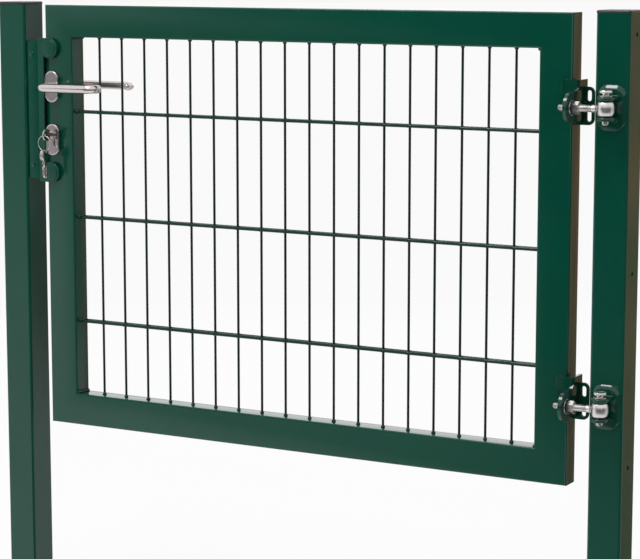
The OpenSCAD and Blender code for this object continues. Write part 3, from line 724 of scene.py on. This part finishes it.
PLATE_ROUND, FACE_DROP, EAR_SINK, SEAM_BACK, SEAM_IN = 18, 0.85, 3, 5.2, 0.5
PLATE_EDGE = [(0.0, 0.0), (0.0, 0.5), (0.25, 1.0), (3.4, 4.6), (3.9, 4.95), (4.6, 5.0)]
EAR_EDGE = [(1.8, 0.0), (0.55, 0.45), (0.0, 1.6), (0.0, EAR - 1.6), (0.55, EAR - 0.45), (1.8, EAR)]
for level, pin in axes.items():
    lowest, highest = low(f"{level}_clevis"), high(f"{level}_clevis")
    face_y, nose_r = highest[1], pin[1] - lowest[1]
    plate_size = (highest - lowest)[[0, 2]]
    half_gap = high(f"{level}_eye_bolt")[2] - pin[2] + EYE_GAP
    insets, rise = zip(*PLATE_EDGE)
    back = loft([rounded_outline(*plate_size, PLATE_ROUND, i, 10) - [0, FACE_DROP * i] for i in insets],
                [-h for h in rise], (pin[0], face_y, pin[2]), "y")
    insets, rise = zip(*EAR_EDGE)
    reach = face_y - EAR_SINK - pin[1]
    ears = [loft([ear_outline(2 * nose_r, reach, i) for i in insets], [foot + h for h in rise], pin)
            for foot in (half_gap, -half_gap - EAR)]
    seam_y, seam_x = face_y - SEAM_BACK, nose_r - SEAM_IN
    seams = [weld_line((-seam_x, seam_y, pin[2] + z), (seam_x, seam_y, pin[2] + z), seed=z)
             for z in (half_gap + EAR, -half_gap - EAR)]
    piece(f"{level}_fork", [back, *ears, *seams],
          "green_coat", "posts", [f"{level}_clevis"], fork_coat_painted_shade, sharp=50)


# %% [markdown]
# ## Leaf brackets
# A pressed bracket holds each stud. It is welded to the stile's front, folds
# round the corner, ends in a round tongue with a hole for the stud, and has a
# rear wing with two slots. The fold is one plan outline made thick, the other
# two are plates with holes, and a small bevel rounds every edge.

# %% Leaf brackets
def oval(width, height, inset=0.0, steps=18):
    """Upright oval: two half circles, each centre plus radius times (cosine, sine).
    The radius shrinks with the inset."""
    half_turn = np.linspace(0, np.pi, steps)
    r, reach = width / 2 - inset, (height - width) / 2
    top = np.column_stack([r * np.cos(half_turn), reach + r * np.sin(half_turn)])
    return np.vstack([top, -top])


def arc_points(centre, radius, start, end, steps=9):
    """Arc: centre plus radius times (cosine, sine), with the angles in degrees."""
    angle = np.radians(np.linspace(start, end, steps))
    return np.asarray(centre) + radius * np.column_stack([np.cos(angle), np.sin(angle)])


def tongue_outline(radius, front, rear, top, run=9, below=8, ease=0.98):
    """Side plate in (y, z) about the stud: round tongue, square rear, and between them an
    S that goes `run` back while it climbs to `below` under the top, by (1 + sin) / 2."""
    s_curve = np.linspace(-np.pi / 2, np.pi / 2, 12)
    rise = np.column_stack([front - run + run * (1 + np.sin(s_curve)) / 2,
                            radius + (top - below - radius) * (1 + np.sin(s_curve * ease)) / 2])
    tongue = arc_points((0, 0), radius, 270, 90, 33)
    return np.vstack([tongue, rise[1:], [[front, top], [rear, top], [rear, -radius]]])


SHEET_T, CORNER_R, PROUD, STEP_IN, FLANGE, CORNER_FOOT, LAP = 4.0, 8.0, 12, 6, 18, 18, 3
SKIN, TUCK = 0.1, 0.2  # these keep two faces from lying in one plane
TONGUE_T, TONGUE_R, STUD_HOLE_R, REAR_Y = 6, 26.0, 6.6, 10.0
WING_H, WING_ROUND, SLOT, SLOT_IN, SLOT_RISE = 64.0, 10, (8, 18), 9, 17
BEAD_R, BEAD_OUT, BEAD_SHORT = 1.8, 0.6, 1
stile, hole_angle = tube_high[0], circle_angles(24)
stud_hole = STUD_HOLE_R * np.column_stack([np.cos(hole_angle), np.sin(hole_angle)])
for level, pin in axes.items():
    node = f"{level}_leaf_bracket"
    side_x0, side_x1 = washer_x[0] - TONGUE_T, washer_x[0]
    front_y, top_z, wing_right = tube_low[1] - PROUD, high(node)[2] - pin[2], high(node)[0]
    centre = (side_x1 - CORNER_R, front_y + CORNER_R)
    plate, plate_faces = cut_plate(tongue_outline(TONGUE_R, centre[1] - pin[1], REAR_Y - pin[1], top_z),
                                   [stud_hole], side_x0, side_x1, "x")
    flange_x, flange_y, step_x, lap_y = stile - FLANGE, tube_low[1] - SKIN, stile - STEP_IN, centre[1] + LAP
    plan = np.vstack([
        [[step_x + SHEET_T, flange_y], [flange_x, flange_y], [flange_x, flange_y - SHEET_T],
         [step_x, flange_y - SHEET_T], [step_x, front_y]],
        arc_points(centre, CORNER_R, -90, 0), [[side_x1 - TUCK, lap_y], [side_x1 - SHEET_T, lap_y]],
        arc_points(centre, CORNER_R - SHEET_T, 0, -90), [[step_x + SHEET_T, front_y + SHEET_T]]])
    corner = loft([plan] * 2, [pin[2] + CORNER_FOOT, pin[2] + top_z], (0, 0, 0))
    half_wing = WING_H / 2
    quarter = arc_points((wing_right - WING_ROUND, half_wing - WING_ROUND), WING_ROUND, 90, 0, 7)
    wing_shape = np.vstack([[[stile, half_wing]], quarter, (quarter * [1, -1])[::-1], [[stile, -half_wing]]])
    wing_slots = [oval(*SLOT) + [wing_right - SLOT_IN, z] for z in (SLOT_RISE, -SLOT_RISE)]
    wing, wing_faces = cut_plate(wing_shape, wing_slots, -SHEET_T, 0, "y")
    beads = [weld_line((x, y, pin[2] + z0), (x, y, pin[2] + z1), BEAD_R, (0, 1, 0)) for x, y, z0, z1 in (
        (flange_x, tube_low[1] - BEAD_OUT, CORNER_FOOT + BEAD_SHORT, top_z),
        (stile + BEAD_OUT, -SHEET_T, BEAD_SHORT - half_wing, half_wing - BEAD_SHORT))]
    piece(f"{level}_bracket", [(plate + [0, pin[1], pin[2]], plate_faces), corner,
                               (wing + [0, 0, pin[2]], wing_faces), *beads],
          "green_coat", "leaf", [node], fork_coat_painted_shade, bevel=0.8, sharp=40)

# %% [markdown]
# ## Keep
# The keep is a box folded from sheet, with a slot for the tongue and one for
# the bolt. Its wall is a table of points whose rows are heights and whose
# columns run round the fold; the quads inside a slot are left out, and a wall
# thickness is added after. Flat ends close it, and two low screws hold it.

# %% Keep
def keep_wall(lowest, highest, slots, fold=3.0, near=0.1):
    """Folded wall: columns run round three sides, rows are heights, quads in a slot are dropped.
    A slot is (y, y, z, z) in the face at the highest x, and a quad within `near` of it counts."""
    quarter = np.linspace(0, np.pi / 2, 5)
    x0, y0, x1, y1 = lowest[0], lowest[1], highest[0], highest[1]
    front = np.column_stack([x1 - fold + fold * np.sin(quarter), y0 + fold - fold * np.cos(quarter)])
    rear = np.column_stack([x1 - fold + fold * np.cos(quarter), y1 - fold + fold * np.sin(quarter)])
    sides = np.array(sorted({y for s in slots for y in s[:2]}))
    face = np.column_stack([np.full(len(sides), x1), sides])
    around = np.vstack([[x0, y0], front, face, rear, [x0, y1]])
    heights = np.array(sorted({lowest[2], highest[2]} | {z for s in slots for z in s[2:]}))
    points = np.concatenate([np.broadcast_to(around, (len(heights), *around.shape)),
                             np.broadcast_to(heights[:, None, None], (len(heights), len(around), 1))], -1)
    vertices, faces = grid(points)
    centre = vertices[np.array(faces)].mean(1)
    inside = np.zeros(len(faces), bool)
    for a, b, c, d in slots:
        inside |= ((np.abs(centre[:, 0] - x1) < near) & (centre[:, 1] > a) & (centre[:, 1] < b)
                   & (centre[:, 2] > c) & (centre[:, 2] < d))
    return vertices, [face for face, drop in zip(faces, inside) if not drop]


SHEET, END_ROUND, END_IN = 3.0, 4, 0.2
KEEP_SCREW_R, KEEP_SCREW_H, KEEP_SCREW_RIM = 5, 1.4, 0.4
TONGUE_SLOT, BOLT_SLOT = (9.3, 20.3), (8.3, 15.3)
keep_low, keep_high = low("keep_box"), high("keep_box")
keep_slots = [(-half_y, half_y, mid(node)[2] - half_z, mid(node)[2] + half_z)
              for node, (half_y, half_z) in (("latch_tongue", TONGUE_SLOT), ("dead_bolt", BOLT_SLOT))]
wall_in = np.array([SHEET / 2, SHEET / 2, 0])
wall = keep_wall(keep_low + wall_in * [0, 1, 0], keep_high - wall_in, keep_slots)
end_size = (keep_high - keep_low)[:2] - 2 * END_IN
ends = [loft([rounded_outline(*end_size, END_ROUND)] * 2, z, (mid("keep_box")[0] - END_IN, 0, 0)) for z in
        ([keep_low[2], keep_low[2] + SHEET], [keep_high[2] - SHEET, keep_high[2]])]
piece("keep_wall", [wall], "green_coat", "posts", ["keep_box"], wall=SHEET, bevel=0.5, sharp=40)
piece("keep_ends", ends, "green_coat", "posts", bevel=0.5)


# %% Screw heads
def domed(radius, height, rim):
    """Profile of a low screw head: a quarter round rim, then height (1 - k squared / 4) at
    k times the radius."""
    rise = np.linspace(0, np.pi / 2, 5)
    edge = [(radius - rim + rim * np.cos(a), height * 0.55 + rim * np.sin(a)) for a in rise]
    crown = [(radius * k, height * (1 - 0.25 * k * k) + rim * 0.3) for k in (0.75, 0.5, 0.25, 0.02)]
    return [(radius, 0), *edge, *crown]


def facing_front(profile, centre):
    """Turned shape that stands out towards the front from a point on a face."""
    vertices, faces = turned(profile, (0, 0, 0), "y")
    return vertices * [1, -1, 1] + np.asarray(centre, float), faces


screw_low, screw_high = low("keep_screws"), high("keep_screws")
screw_x = (screw_low[0] + screw_high[0]) / 2
keep_screw = domed(KEEP_SCREW_R, KEEP_SCREW_H, KEEP_SCREW_RIM)
piece("keep_screw_heads", [facing_front(keep_screw, (screw_x, screw_high[1], z)) for z in
                           (screw_low[2] + KEEP_SCREW_R, screw_high[2] - KEEP_SCREW_R)],
      "green_coat", "posts", ["keep_screws"], sharp=60)

# %% [markdown]
# ## Stop plate
# A flat strip beside the lock closes against the keep and carries a round lobe
# above and one below. Each lobe has a low round cover in front and a rubber
# buffer behind. The strip and both lobes are one outline, two arcs joined by
# straight lines, made thick and bevelled.

# %% Stop plate
STOP_SCREW_R, STOP_SCREW_H, STOP_SCREW_RIM = 15, 1.3, 0.7
BUFFER_R, BUFFER_ROUND, STRIP_LAP = 14.9, 0.9, 1
plate_low, plate_high = low("stop_plate"), high("stop_plate")
lobe_spots = [(mid("stop_screws")[0], z) for z in
              (low("stop_screws")[2] + STOP_SCREW_R, high("stop_screws")[2] - STOP_SCREW_R)]
lobe_r = plate_high[0] - lobe_spots[0][0]
strip_right = tube_low[0] + STRIP_LAP
drop = math.degrees(math.acos((strip_right - lobe_spots[0][0]) / lobe_r))
plate_outline = np.vstack([
    [[plate_low[0], plate_low[2]]], arc_points(lobe_spots[0], lobe_r, -90, drop, 28),
    arc_points(lobe_spots[1], lobe_r, -drop, 90, 28), [[plate_low[0], plate_high[2]]]])
piece("lobed_stop_plate", [loft([plate_outline] * 2, [plate_low[1], plate_high[1]], (0, 0, 0), "y")],
      "green_coat", "leaf", ["stop_plate"], bevel=0.7, sharp=40)
stop_screw = domed(STOP_SCREW_R, STOP_SCREW_H, STOP_SCREW_RIM)
piece("stop_screw_heads", [facing_front(stop_screw, (x, plate_low[1], z)) for x, z in lobe_spots],
      "green_coat", "leaf", ["stop_screws"], sharp=60)
buffer_x, buffer_y = mid("stop_buffers")[0], high("stop_buffers")[1]
buffer_t = buffer_y - low("stop_buffers")[1]
buffer_edge = [(BUFFER_R - BUFFER_ROUND, 0), (BUFFER_R, BUFFER_ROUND), (BUFFER_R, buffer_t - BUFFER_ROUND),
               (BUFFER_R - BUFFER_ROUND, buffer_t)]
piece("rubber_buffers", [facing_front(buffer_edge, (buffer_x, buffer_y, z)) for _, z in lobe_spots],
      "buffer_rubber", "leaf", ["stop_buffers"])

# %% [markdown]
# ## Rosettes
# Each rosette is a pressed oval cover. A low rounded rim runs round it, and the
# brushed face lies a little deeper inside. Ovals with growing insets, stacked
# at the heights of that section, make it in one loft.

# %% Rosettes
ROSETTE_RIM = [(0.0, 0.0), (0.0, 6.9), (0.25, 7.9), (0.9, 8.7), (1.8, 9.0),
               (2.5, 8.8), (2.9, 8.4), (3.0, 8.4), (3.4, 8.4)]
for name in ("front_lever_rosette", "rear_lever_rosette", "front_cylinder_rosette", "rear_cylinder_rosette"):
    side = -1 if name.startswith("front") else 1
    centre = mid(name)
    wide, tall = (high(name) - low(name))[[0, 2]]
    foot_y = tube_low[1] if side < 0 else tube_high[1]
    insets, heights = zip(*ROSETTE_RIM)
    cover = loft([oval(wide, tall, i) for i in insets], [side * h for h in heights],
                 (centre[0], foot_y, centre[2]), "y")
    piece(f"pressed_{name}", [cover], "stainless", "leaf", [name], sharp=50)

# %% [markdown]
# ## Levers
# A lever is one bar bent twice: out of the rosette, along the gate and back in
# to guard the fingers. The path is straight runs joined by quarter circles,
# and the free end is turned to a dome by letting the radius fall along it. The
# rear lever is the same path mirrored, so its normals are worked out again.

# %% Levers
def bent_path(x_far, y_near, y_out, y_tip, bend, steps=11):
    """Path in (x, y): out from y_near to y_out, along to x_far and back to y_tip. Each
    bend is a quarter circle: centre plus bend times (cosine, sine)."""
    quarter = np.linspace(0, np.pi / 2, steps)
    first = np.column_stack([bend - bend * np.cos(quarter), y_out + bend - bend * np.sin(quarter)])
    second = np.column_stack([x_far - bend + bend * np.sin(quarter), y_out + bend - bend * np.cos(quarter)])
    return np.vstack([[[0, y_near], [0, (y_near + y_out) / 2]], first, second, [[x_far, y_tip]]])


LEVER_START, LEVER_BEND, FINGER_ROOM, TIP_RUN, LEVER_SIDES = 21.0, 15, 22, 8, 32
to_tip = np.linspace(0, np.pi / 2, 7)
lever_axis = mid("lever_spindle")
for name in ("front_lever", "rear_lever"):
    side = -1 if name == "front_lever" else 1
    box_low, box_high = low(name), high(name)
    thick = box_high[2] - box_low[2]
    out = side * (max(abs(box_low[1]), abs(box_high[1])) - thick / 2)
    far = box_high[0] - thick / 2 - lever_axis[0]
    flat = bent_path(far, -LEVER_START, -abs(out), -(tube_high[1] + FINGER_ROOM + TIP_RUN), LEVER_BEND)
    tip = np.column_stack([np.full(len(to_tip), far), flat[-1, 1] + TIP_RUN * np.sin(to_tip)])
    path = np.vstack([flat, tip[1:]])
    radius = np.full(len(path), thick / 2)
    radius[1 - len(to_tip):] = thick / 2 * np.cos(to_tip)[1:].clip(0.03)
    height = np.full(len(path), lever_axis[2])
    path = np.column_stack([path[:, 0] + lever_axis[0], -side * path[:, 1], height])
    piece(f"bent_{name}", [bar(path, radius, (0, 0, 1), LEVER_SIDES)], "stainless", "levers", [name],
          finish=steel_along_x if side < 0 else soft_steel_painted_light, sharp=60)

# %% [markdown]
# ## Lock cylinder
# The profile cylinder stands a little out of its rosette, with the round plug
# that the key turns. Its keyhole outline is a big arc above and a small one
# below, stacked with a small inset at both ends, which makes the broken edge.

# %% Cylinder
def cylinder_face(width, web, height, inset=0.0, steps=20):
    """Keyhole outline about the plug's axis: a big arc above, a narrow web and a small arc
    below, each its radius times (cosine, sine)."""
    r, q = width / 2 - inset, web / 2 - inset
    drop = height - width / 2 - web / 2
    neck = np.arcsin(q / r)
    big = np.linspace(-np.pi / 2 + neck, 3 * np.pi / 2 - neck, steps * 2)
    small = np.linspace(np.pi, 2 * np.pi, steps)
    return np.vstack([np.column_stack([r * np.cos(big), r * np.sin(big)]),
                      np.column_stack([q * np.cos(small), -drop + q * np.sin(small)])])


CYLINDER_W, WEB_W, CYLINDER_H, BREAK = 17, 10, 33, 0.4
PLUG = [(6.4, -0.5), (6.4, 0.25), (6.0, 0.5), (0.1, 0.5)]
core_high = high("lock_cylinder")
plug_axis = np.array([mid("lock_cylinder")[0], 0, core_high[2] - CYLINDER_W / 2])
face_out = core_high[1]
core = loft([cylinder_face(CYLINDER_W, WEB_W, CYLINDER_H, i) for i in (BREAK, 0, 0, BREAK)],
            [-face_out, BREAK - face_out, face_out - BREAK, face_out], plug_axis, "y")
plugs = [turned([(r, side * (face_out + h)) for r, h in PLUG], plug_axis, "y") for side in (-1, 1)]
piece("profile_cylinder", [core, *plugs], "stainless", "leaf", ["lock_cylinder"], sharp=40)

# %% [markdown]
# ## Keys and ring
# A key's bow is a ring of stations between its hole and its edge, found by
# shooting rays from the hole's centre to the bow's circle. The blade is a
# grooved section whose lower edge rises at each cut, and every key has its own
# five cuts. The split ring is a wire wound two turns.

# %% Keys
BOW_R, HOLE_R, HOLE_IN, BOW_T = 12.0, 2.2, 4.0, 2.2
BLADE_L, BLADE_H, BLADE_T, BLADE_LAP = 32.0, 8.0, 2.0, 1.5
CUTS, SPARE_CUTS = [1.2, 2.2, 1.0, 2.6, 1.6], ([2.4, 1.0, 2.0, 1.4, 2.6], [1.0, 2.6, 1.6, 2.2, 1.2])


def key_bow(radius, hole_r, hole_in, thick, steps=48):
    """Bow with a hole: hole edge + s (outer edge - hole edge), s from 0 to 1, front and back.
    The outer edge is where a ray from the hole's centre meets the bow's circle."""
    angle = circle_angles(steps)
    ray = np.stack([np.cos(angle), np.sin(angle)], -1)
    to_middle = np.array([radius - hole_in, 0.0])
    along = ray @ to_middle
    reach = along + np.sqrt(along ** 2 - to_middle @ to_middle + radius ** 2)
    inner, outer = hole_r * ray, reach[:, None] * ray
    share = np.array([0.0, 0.10, 0.90, 1.0, 1.0, 0.90, 0.10, 0.0])
    height = np.array([0.3, 0.5, 0.5, 0.3, -0.3, -0.5, -0.5, -0.3]) * thick
    flat = inner + share[:, None, None] * (outer - inner)
    return grid(np.concatenate([flat, np.broadcast_to(height[:, None, None], (*flat.shape[:2], 1))], -1),
                wrap_rows=True, wrap_columns=True)


def key_blade(start, length, height, thick, cuts):
    """Blade: a section with a milled groove, whose lower edge is raised by each cut's depth
    times 1.6 - 0.8 |distance to the cut|, kept between 0 and 1. The tip is pinched."""
    places = start + length * np.linspace(0, 1, 49)
    cut_at = start + length * np.linspace(0.3, 0.9, len(cuts))
    nearness = np.clip(1.6 - np.abs(places[:, None] - cut_at) * 0.8, 0, 1)
    lower = -height / 2 + (np.array(cuts) * nearness).max(1)
    upper = np.full(len(places), height / 2)
    pinch = np.clip((places[-1] - places) / 2.5, 0.15, 1)
    t = thick / 2
    z_share = np.array([0, 0, 0.35, 0.42, 0.6, 0.67, 1, 1, 0.67, 0.6, 0.42, 0.35])
    side = np.array([-t, t, t, t * 0.45, t * 0.45, t, t, -t, -t, -t * 0.45, -t * 0.45, -t])
    z = (lower[:, None] + (upper - lower)[:, None] * z_share) * pinch[:, None]
    return grid(np.stack([places[:, None] + 0 * z, z, np.broadcast_to(side, z.shape)], -1),
                wrap_columns=True, caps=True)


def key_surfaces(cuts, place, blade_dir):
    """A key in its own plane, put with its ring hole at `place` and its blade along `blade_dir`.
    The key's own axes are blade, width and thickness."""
    bow = key_bow(BOW_R, HOLE_R, HOLE_IN, BOW_T)
    blade = key_blade(2 * BOW_R - HOLE_IN - BLADE_LAP, BLADE_L, BLADE_H, BLADE_T, cuts)
    blade_dir = np.array(blade_dir, float)
    thick_dir = np.array([1.0, 0, 0])
    axes_of_key = np.stack([blade_dir, np.cross(thick_dir, blade_dir), thick_dir])
    return [(points @ axes_of_key + np.asarray(place, float), faces) for points, faces in (bow, blade)]


key_place = (plug_axis[0], low("key")[1] + HOLE_IN, plug_axis[2])
piece("key_in_lock", key_surfaces(CUTS, key_place, (0, 1, 0)),
      "stainless", "leaf", ["key"], steel_along_x, sharp=35)

# %% Ring and spare keys
RING_R, RING_WIRE_R, RING_STEP, RING_STATIONS, HALF_APART = 14, 0.55, 1.1, 150, 1.5
ring_centre = mid("key_ring") * [0, 1, 1] + plug_axis * [1, 0, 0]
wind = np.linspace(0.1, 4 * np.pi - 0.1, RING_STATIONS)
ring_path = ring_centre + np.column_stack([
    RING_R * np.cos(wind), RING_STEP * (wind / (4 * np.pi) - 0.5), RING_R * np.sin(wind)])
piece("split_ring", [bar(ring_path, RING_WIRE_R, (0, 1, 0), 12)],
      "zinc_plate", "key_ring", ["key_ring"], sharp=60)
hang = high("spare_keys")[2] - HOLE_IN
spares = [surface for x, cuts in zip((-HALF_APART, HALF_APART), SPARE_CUTS)
          for surface in key_surfaces(cuts, (plug_axis[0] + x, ring_centre[1], hang), (0, 0, -1))]
piece("hanging_keys", spares, "stainless", "key_ring", ["spare_keys"], steel_along_x, sharp=35)

# %% [markdown]
# ## Floor
# The gate stands on a plain pale floor. To the eye the floor is nearly all plain
# white glow, with a faint shadow, so that it runs into the white beyond it. It
# is hidden from gloss, because the room that gloss sees has its own lower half.

# %% Floor
floor_mesh = bpy.data.meshes.new("floor")
floor_mesh.from_pydata([(-12, -12, 0), (12, -12, 0), (12, 14, 0), (-12, 14, 0)], [], [(0, 1, 2, 3)])
floor = bpy.data.objects.new("floor", floor_mesh)
bpy.context.scene.collection.objects.link(floor)
floor.visible_glossy = False
pale = Finish("pale_floor")
pale.shader.inputs["Base Color"].default_value = (0.92, 0.92, 0.92, 1)
pale.shader.inputs["Roughness"].default_value = 1
eye_ray = pale.node("ShaderNodeLightPath", output="Is Camera Ray")
glow = pale.node("ShaderNodeEmission", {}, {"Strength": 1.0})
lit_floor = Value(pale, pale.shader.outputs[0])
mixed = pale.node("ShaderNodeMixShader", {}, {0: eye_ray * 0.90, 1: lit_floor, 2: glow})
pale.feed(pale.nodes["Material Output"].inputs["Surface"], mixed)
floor_mesh.materials.append(pale.owner)
print("floor:", len(floor_mesh.polygons), "face, with", len(pale.nodes), "nodes")

# %% [markdown]
# ## Surroundings
# The world does three jobs. Rays from the eye meet a plain white. Diffuse light
# is even, but falls off towards the right. The gloss of paint and metal sees a
# room of its own: dark at eye level in front, bright above, below and on the
# left, and a warm patchy wall behind on the right, which the tubes' sides
# mirror. A zone's edge is a smooth step or a clipped slope in the direction
# (x, y, z), whose length is 1, so z = 0.1 lies about 6 degrees above eye level.

# %% World
BLACK, WHITE, BACKDROP = (0, 0, 0), (1, 1, 1), (0.955, 0.955, 0.955)
world = bpy.data.worlds.new("studio")
bpy.context.scene.world = world
room = Finish("studio", world)
toward = room.node("ShaderNodeTexCoord", output="Generated")
x = room.node("ShaderNodeSeparateXYZ", {}, {0: toward})
y, z = x.beside(1), x.beside(2)
down = z * -1

# In front: a wash of light on the left, and open room above and below eye level.
high_wash = (x * -1.9 - 0.84).clipped() + (x * -1).between(0.592, 0.607) * 0.2
low_wash = (x * -3.4 - z * 3.0 - 1.72).clipped(0.95)
wash = high_wash + (low_wash - high_wash) * down.between(0.075, 0.115) + x.between(-0.28, -0.05) * 0.1
open_room = z.between(0.10, 0.22) + down.between(0.40, 0.52)
front = room.blend((wash + open_room * 0.85).clipped(), (0.004, 0.005, 0.005), WHITE)

# Behind: a pale wall that dims below eye level, and the warm patchy one.
rear_light = 0.60 - down.between(0.05, 0.14) * 0.42 + down.between(0.155, 0.20) * 0.6
plain_wall = room.blend((rear_light + z.between(0.05, 0.3) * 0.3).clipped(), BLACK, WHITE)
patches = room.node("ShaderNodeTexNoise", {}, {"Vector": toward, "Scale": 16.0, "Detail": 2.0})
lit = patches.between(0.30, 0.58) * (1 - down.between(0.13, 0.21) * 0.65)
warm_wall = room.blend(lit, (0.10, 0.11, 0.07), (0.62, 0.33, 0.17))
warm_place = x.between(0.12, 0.3) * (1 - x.between(0.42, 0.6)) * (1 - z.between(0.1, 0.3))
rear = room.blend(warm_place, plain_wall, warm_wall)
seen_in_gloss = room.blend(y.between(-0.12, 0.25), front, rear)

# What each kind of ray meets.
is_camera = room.node("ShaderNodeLightPath", output="Is Camera Ray")
diffuse = room.blend(x.between(-0.1, 0.75), (0.74, 0.74, 0.74), (0.07, 0.07, 0.07))
seen_by_eye = is_camera.maths("MAXIMUM", is_camera.beside("Is Transmission Ray"))
even = room.blend(seen_by_eye, diffuse, BACKDROP)
background = room.nodes["Background"]
room.feed(background.inputs["Color"], room.blend(is_camera.beside("Is Glossy Ray"), even, seen_in_gloss))
background.inputs["Strength"].default_value = 1.0
print("world:", len(room.nodes), "nodes")

# %% [markdown]
# ## Soft panels
# Four soft panels model the round shapes. The one overhead and the one behind
# also show in gloss. The two in front are hidden from it, because their patches
# would wash out the paint.

# %% Soft panels
def panel(name, place, aim, size, watts):
    """Rectangular soft panel at a place, turned to face a point."""
    data = bpy.data.lights.new(name, "AREA")
    data.shape, data.size, data.size_y, data.energy = "RECTANGLE", *size, watts
    lamp = bpy.data.objects.new(name, data)
    lamp.location = place
    lamp.rotation_euler = (Vector(aim) - Vector(place)).to_track_quat("-Z", "Y").to_euler()
    lamp.visible_camera = False
    bpy.context.scene.collection.objects.link(lamp)
    print(f"{name}: {watts} W")
    return lamp


middle = (-0.6, 0, 0.8)
panel("overhead", (-1.0, -1.2, 3.4), middle, (1.1, 0.9), 42)
panel("right_front", (2.9, -2.2, 2.0), middle, (1.0, 2.2), 26).visible_glossy = False
panel("left_front", (-3.6, -3.4, 1.6), middle, (1.6, 2.4), 30).visible_glossy = False
panel("rear_low", (-2.4, 3.4, 1.5), (-0.6, 0, 0.5), (4.4, 1.2), 14)

# %% View transform
bpy.context.scene.view_settings.view_transform = "Standard"
